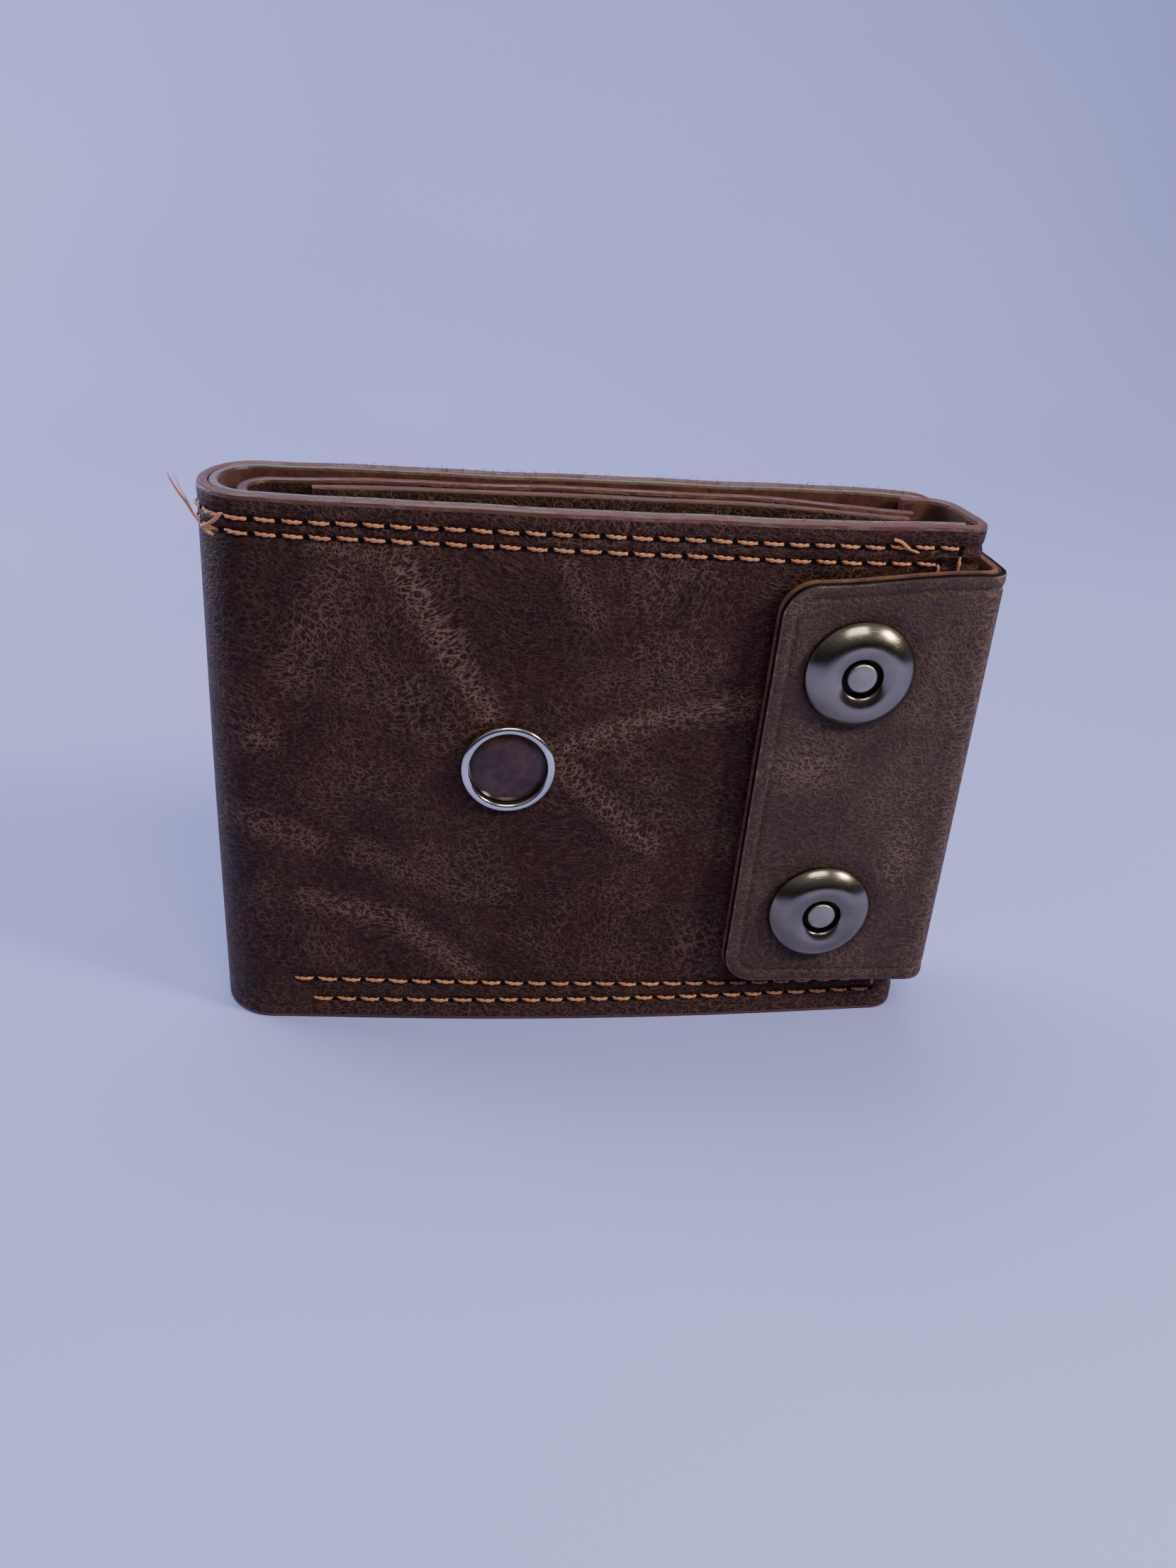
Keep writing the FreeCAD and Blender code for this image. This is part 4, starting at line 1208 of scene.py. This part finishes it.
FRONT_ENDS = [FOLD_HALF + x - FOLD_OUTER for x in (110.0, 107.0)]
ROW_STARTS = [row_starts(k) for k in (0, 1)]
BACK_BOTTOM_END = -(FOLD_HALF + 83.0 - FOLD_OUTER)
SIDE_Z = ((4.8, 83.9), (7.6, 82.6))
STITCHED = (
    ("front_top", rows(top_row, (FOLD_HALF, FOLD_HALF), FRONT_ENDS)),
    ("front_bottom", rows(bottom_row, ROW_STARTS, FRONT_ENDS)),
    ("front_side", [(constant(FRONT_ENDS[k]), *SIDE_Z[k], True) for k in (0, 1)]),
    ("back_top", rows(top_row, (-FRONT_ENDS[0] + 1.5,) * 2, (-FOLD_HALF,) * 2)),
    ("back_bottom", rows(bottom_row, (BACK_BOTTOM_END,) * 2, [-start for start in ROW_STARTS])),
)
for name, runs in STITCHED:
    half = name.split("_")[0] + "_half"
    stitching("thread_" + name, bend_cover, runs, ["stitching_" + name], half)
for part in range(3):
    low, high = third(part, FOLD_HALF)
    nodes = ["stitching_fold_" + str(part)] if part else None
    runs = rows(top_row, (low, low), (high, high))
    stitching("thread_fold_" + str(part + 1), bend_cover, runs, nodes, None, part)
TAIL_ROW = 3.0
TAIL_SIDE = 3.6              # the tail's upright rows stop this far from its edges
tail_s = (TAIL_START + CORNER_X - 109.2, TAIL_END - TAIL_ROW)
tail_z = (STRAP_BOTTOM + TAIL_SIDE, STRAP_TOP - TAIL_SIDE)
runs = [(constant(z), *tail_s) for z in (STRAP_TOP - TAIL_ROW, STRAP_BOTTOM + TAIL_ROW)]
runs += [(constant(s), *tail_z, True) for s in tail_s]
stitching("thread_tail", bend_strap, runs, ["stitching_tail"], "back_half")


# ---- curves and loose fibres ----
def spline(points, count):
    """Points evenly spread along a Catmull-Rom curve."""
    pts = np.array(points, float)
    pts = np.vstack((2 * pts[0] - pts[1], pts, 2 * pts[-1] - pts[-2]))
    out = []
    spans = len(points) - 1
    for value in np.linspace(0.0, spans - 1e-9, count):
        k = int(value)
        t = value - k
        a, b, c, d = pts[k:k + 4]
        out.append(
            0.5 * (2 * b + (c - a) * t + (2 * a - 5 * b + 4 * c - d) * t * t
                   + (3 * b - 3 * c + d - a) * t ** 3)
        )
    return out


FIBRE_STEPS = 16
FIBRE_SIDES = 6


def fibre(points, thick, thin):
    """One tapering fibre along a smooth path: its points and faces."""
    path = np.array(spline(points, FIBRE_STEPS))
    heading = np.gradient(path, axis=0)
    heading /= np.linalg.norm(heading, axis=1)[:, None]
    side = np.cross(heading, (0.31, 0.2, 0.93))
    side /= np.linalg.norm(side, axis=1)[:, None]
    other = np.cross(heading, side)
    verts = []
    for k in range(FIBRE_STEPS):
        radius = thick + (thin - thick) * k / (FIBRE_STEPS - 1)
        for angle in angles(FIBRE_SIDES):
            verts.append(path[k] + radius * (math.cos(angle) * side[k] + math.sin(angle) * other[k]))
    return verts, tube_faces(FIBRE_STEPS, FIBRE_SIDES)


def fibres(name, paths, thick, thin, material, body, slot, part=None):
    """Several fibres as one piece."""
    verts, faces = joined([fibre(path, thick, thin) for path in paths])
    attach(plan_mesh(name, verts, faces, (material,), THREAD_SHARP), body, None, slot, part)


def spread(path, count, amount):
    """Copies of a path that share its root and fan out towards its tip."""
    path = np.array(path, float)
    share = np.linspace(0.0, 1.0, len(path))[:, None] ** 1.6
    return [path + share * RANDOM.normal(0.0, amount, 3) + RANDOM.normal(0.0, 0.07, 3)
            for _ in range(count)]


def lint(count, x_range, surface):
    """Short curled fibres standing on a cut edge; surface gives (y, z) at x."""
    paths = []
    for _ in range(count):
        x = RANDOM.uniform(*x_range)
        y, z = surface(x)
        lean = RANDOM.normal(0.0, 0.5, 2)
        long = RANDOM.uniform(0.35, 0.95)
        middle = (x + 0.4 * lean[0], y + RANDOM.normal(0.0, 0.2), z + 0.6 * long)
        tip = (x + lean[0] + RANDOM.normal(0.0, 0.3), y + lean[1], z + long * RANDOM.uniform(0.6, 1.1))
        paths.append(np.array(((x, y, z - 0.15), middle, tip)))
    return paths


FOLD_KNOT = ((2.9, 3.2, 82.0), (1.5, 4.3, 82.7), (2.3, 3.0, 83.4), (3.5, 2.2, 84.3), (4.6, 1.7, 85.5))
FOLD_TAIL = ((1.4, 5.0, 82.7), (0.1, 6.4, 83.9), (-0.9, 7.0, 85.6), (-1.9, 7.2, 87.2), (-2.9, 7.4, 89.2))
CORNER_LOOP = ((99.4, -2.2, 85.9), (100.6, -2.6, 85.6), (101.8, -2.5, 84.6), (103.2, -2.2, 84.1))
FOLD_THIRD = 2               # the third of the fold given for the loose ends at the fold, which are baked in place
fibres("thread_knot", spread(FOLD_KNOT, 3, 0.12), 0.2, 0.14, THREAD, None, "thread", FOLD_THIRD)
fibres("thread_frayed_end", spread(FOLD_TAIL, 9, 0.42), 0.09, 0.04, THREAD, None, "thread", FOLD_THIRD)
fibres("thread_slack_loop", spread(CORNER_LOOP, 3, 0.14), 0.26, 0.2, THREAD, "front_half", "thread")


def top_edge(shift, outer, side, reach):
    """Gives a random (y, z) on a top edge at x, reach being how far in from the outer face."""

    def surface(x):
        y = outer + float(shift(np.array([x]), np.array([HEIGHT]))[0])
        return y + side * RANDOM.uniform(*reach), HEIGHT - 0.1

    return surface


def leaf_lint(count):
    """Fibres standing out of the raw left edge of the leaf."""
    paths = []
    for _ in range(count):
        z = RANDOM.uniform(STRAP_BOTTOM + 7.0, STRAP_TOP - 7.0)
        root = bend_strap(np.array([0.1]), np.array([z]), np.array([RANDOM.uniform(0.7, 2.0)]))[0]
        out = np.array((-RANDOM.uniform(0.25, 0.8), RANDOM.normal(0.0, 0.25), RANDOM.normal(0.0, 0.4)))
        paths.append(np.array((root, root + 0.6 * out + (0.0, 0.0, RANDOM.normal(0.0, 0.12)), root + out)))
    return paths


LINT = (0.035, 0.02)         # radius at the root and at the tip
front_edge = top_edge(front_shift, 0.0, 1.0, (1.9, 2.8))
back_edge = top_edge(back_shift, DEPTH, -1.0, (0.5, 2.6))
fibres("lint_leaf", leaf_lint(110), *LINT, RAW_EDGE, "strap_leaf", "strap_lining")
fibres("lint_front", lint(90, (18.0, 104.0), front_edge), *LINT, STRAP_SUEDE, "front_half", "suede_lining")
fibres("lint_back", lint(90, (20.0, 106.0), back_edge), *LINT, STRAP_SUEDE, "back_half", "suede_lining")


# ---- metal parts ----
METAL_SHARP = 32.0


def lathe(name, x, z, outline_points, materials, around, body, node, slot, inner_radius=0.0):
    """Turns a (radius, y) outline about the line through (x, z); the first and last points cap it.
    A second material covers what lies within inner_radius; on the caps it is the painted shade of the
    recess."""
    points = [
        (x + radius * math.cos(angle), y, z + radius * math.sin(angle))
        for radius, y in outline_points
        for angle in angles(around)
    ]
    faces = []
    for ring in range(len(outline_points) - 1):
        for k in range(around):
            a = ring * around + k
            b = ring * around + (k + 1) % around
            faces.append((b, a, a + around, b + around))
    last = (len(outline_points) - 1) * around
    faces.append(tuple(range(around)))
    faces.append(tuple(last + k for k in range(around - 1, -1, -1)))
    numbers = [0] * len(faces)
    if len(materials) > 1:
        inside = [int(radius < inner_radius) for radius, _ in outline_points[:-1]]
        numbers = [number for number in inside for _ in range(around)] + [0, 1]
    attach(plan_mesh(name, points, faces, materials, METAL_SHARP, numbers), body, [node], slot)


BASE_Y = LEAF_OUTER + 0.25
CAP_CURVE = (
    (8.5, LEAF_OUTER - 0.1), (8.42, -5.15), (8.0, -5.7), (7.2, -6.35), (6.2, -6.9), (5.2, -7.16),
    (4.5, -7.12), (3.95, -6.97), (3.5, -6.8), (3.2, -6.62), (3.05, -6.35), (2.98, -5.9), (2.95, -5.45),
)
# inside this radius the cap is painted dark as the shade in its recess
RECESS_SHADE_RADIUS = 3.06
POST_CURVE = (
    (2.3, -5.42), (2.3, -6.0), (2.26, -6.25), (2.1, -6.42), (1.8, -6.5), (1.2, -6.53), (0.4, -6.54)
)
for place, z in SNAP_Z.items():
    cap = [(8.3, BASE_Y), (8.45, LEAF_OUTER + 0.05), *spline(CAP_CURVE, 64), (1.75, -5.4)]
    lathe("cap_" + place, SNAP_X, z, cap, (NICKEL, RECESS_SHADE), 96, "strap_leaf", "snap_cap_" + place,
          "snap_nickel", RECESS_SHADE_RADIUS)
    post = [(1.6, -2.1), (1.6, -5.42), *spline(POST_CURVE, 24)]
    lathe("post_" + place, SNAP_X, z, post, (ZINC,), 64, "strap_leaf", "snap_post_" + place, "rivet_zinc")

badge_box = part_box("badge_rim")
BACK_Y = badge_box[1].y * 1000.0 + ORIGIN[1]
FRONT_Y = badge_box[0].y * 1000.0 + ORIGIN[1]
RING_CURVE = (
    (7.2, BACK_Y), (7.2, FRONT_Y + 0.55), (7.08, FRONT_Y + 0.2), (6.75, FRONT_Y + 0.02),
    (6.45, FRONT_Y), (6.15, FRONT_Y + 0.12), (5.98, FRONT_Y + 0.4), (5.9, BACK_Y - 0.1),
)
DOME_CURVE = (
    (5.86, BACK_Y - 0.2), (5.7, BACK_Y - 0.42), (4.6, FRONT_Y + 0.62), (3.2, FRONT_Y + 0.5),
    (1.6, FRONT_Y + 0.43), (0.3, FRONT_Y + 0.42),
)
BADGE_PARTS = (
    ("badge_ring", RING_CURVE, 40, CHROME, "badge_rim", "badge_chrome"),
    ("badge_dome", DOME_CURVE, 30, ENAMEL, "badge_disc", "badge_enamel"),
)
for name, curve_points, count, material, node, slot in BADGE_PARTS:
    rounded = spline(curve_points, count)
    lathe(name, BADGE_X, BADGE_Z, rounded, (material,), 96, "front_half", node, slot)

for name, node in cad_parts.items():
    if not node.hide_render:
        node.data.materials.clear()
        node.data.materials.append(NICKEL if name.startswith("snap_") else ZINC)


# ---- floor, light and camera ----
FLOOR_SIDE = 5.0             # metres: half width of the floor, and how far it comes forward
WALL_Y = 0.34                # where the floor starts to curve up, by this radius, to this height
WALL_RADIUS = 0.3
WALL_TOP = 1.9
WALL_STEPS = 16


def build_floor():
    """A pale sweep: floor, round corner and wall."""
    g = Graph("floor_cloth", rough=0.85, specular=0.2)
    place = g.object_place()
    tone = g.span(g.noise(place, 2.2), 0.3, 0.7)
    g.set("Base Color", g.mix(tone, rgb(152, 153, 208), rgb(162, 163, 218)))
    g.bump(g.noise(place, 900.0, 2.0), 0.00006, 0.3)
    path = [(-FLOOR_SIDE, 0.0), (WALL_Y, 0.0)]
    for k in range(1, WALL_STEPS + 1):
        angle = math.pi / 2.0 * k / WALL_STEPS
        path.append((WALL_Y + WALL_RADIUS * math.sin(angle), WALL_RADIUS - WALL_RADIUS * math.cos(angle)))
    path.append((WALL_Y + WALL_RADIUS, WALL_TOP))
    verts = [(x, y, z) for x in (-FLOOR_SIDE, FLOOR_SIDE) for y, z in path]
    count = len(path)
    faces = [(k, k + count, k + count + 1, k + 1) for k in range(count - 1)]
    new_object("floor", verts, faces, (g.material,))


def area_light(name, place, size, energy, colour):
    """A soft box that looks at the middle of the object."""
    light = bpy.data.lights.new(name, "AREA")
    light.shape = "RECTANGLE"
    light.size, light.size_y = size
    light.energy = energy
    light.color = colour
    lamp = bpy.data.objects.new(name, light)
    lamp.location = place
    direction = Vector(LIGHT_TARGET) - Vector(place)
    lamp.rotation_euler = direction.to_track_quat("-Z", "Y").to_euler()
    bpy.context.scene.collection.objects.link(lamp)


def build_room():
    """A soft room: bright overhead and behind, dim in front."""
    world = bpy.data.worlds.new("studio")
    world.use_nodes = True
    nodes = Nodes(world.node_tree)
    background = world.node_tree.nodes["Background"].inputs
    place = nodes.add("TexCoord").outputs["Generated"]
    parts = nodes.add("SeparateXYZ", {0: place}).outputs
    height = nodes.span(parts["Z"], 0.1, 0.85)
    behind = nodes.span(parts["Y"], -0.5, 0.7)
    colour = nodes.mix(nodes.math("MAXIMUM", height, behind), ROOM_DARK, ROOM_LIGHT)
    nodes.feed(background["Color"], colour)
    nodes.feed(background["Strength"], 0.5)
    bpy.context.scene.world = world


ROOM_DARK = (0.07, 0.064, 0.066, 1.0)
ROOM_LIGHT = (0.66, 0.69, 0.88, 1.0)
LIGHT_TARGET = (0.0, 0.0, 0.04)
WARM = (1.0, 0.98, 0.95)
LIGHTS = (
    ("key", (0.05, -0.42, 0.66), (0.34, 0.24), 2.3, WARM),
    ("overhead", (-0.1, 0.35, 0.8), (0.8, 0.5), 5.0, (0.86, 0.9, 1.0)),
    ("left", (-0.7, 0.34, 0.3), (0.4, 0.5), 5.5, (0.85, 0.9, 1.0)),
    ("right", (0.5, -0.26, 0.42), (0.14, 0.14), 4.2, WARM),
)
CAMERA_PLAN = (32.6, -183.33, 143.14)
CAMERA_YAW = 7.879
CAMERA_PITCH = 28.058
CAMERA_ROLL = 4.092
SENSOR = 36.0
FOCAL_SHARE = 1900.0 / 1659.0  # focal length over the picture's width


def build_camera():
    data = bpy.data.cameras.new("camera")
    data.sensor_fit = "HORIZONTAL"
    data.sensor_width = SENSOR
    data.lens = SENSOR * FOCAL_SHARE
    data.clip_start = 0.01
    camera = bpy.data.objects.new("camera", data)
    yaw = math.radians(CAMERA_YAW)
    pitch = math.radians(CAMERA_PITCH)
    roll = math.radians(CAMERA_ROLL)
    ahead = Vector((math.sin(yaw) * math.cos(pitch), math.cos(yaw) * math.cos(pitch), -math.sin(pitch)))
    level = Vector((math.cos(yaw), -math.sin(yaw), 0.0))
    above = level.cross(ahead)
    right = level * math.cos(roll) + above * math.sin(roll)
    up = above * math.cos(roll) - level * math.sin(roll)
    matrix = Matrix((right, up, -ahead)).transposed().to_4x4()
    matrix.translation = Vector(to_row(CAMERA_PLAN).tolist())
    camera.matrix_world = matrix
    bpy.context.scene.collection.objects.link(camera)
    bpy.context.scene.camera = camera


build_floor()
build_room()
for settings in LIGHTS:
    area_light(*settings)
build_camera()
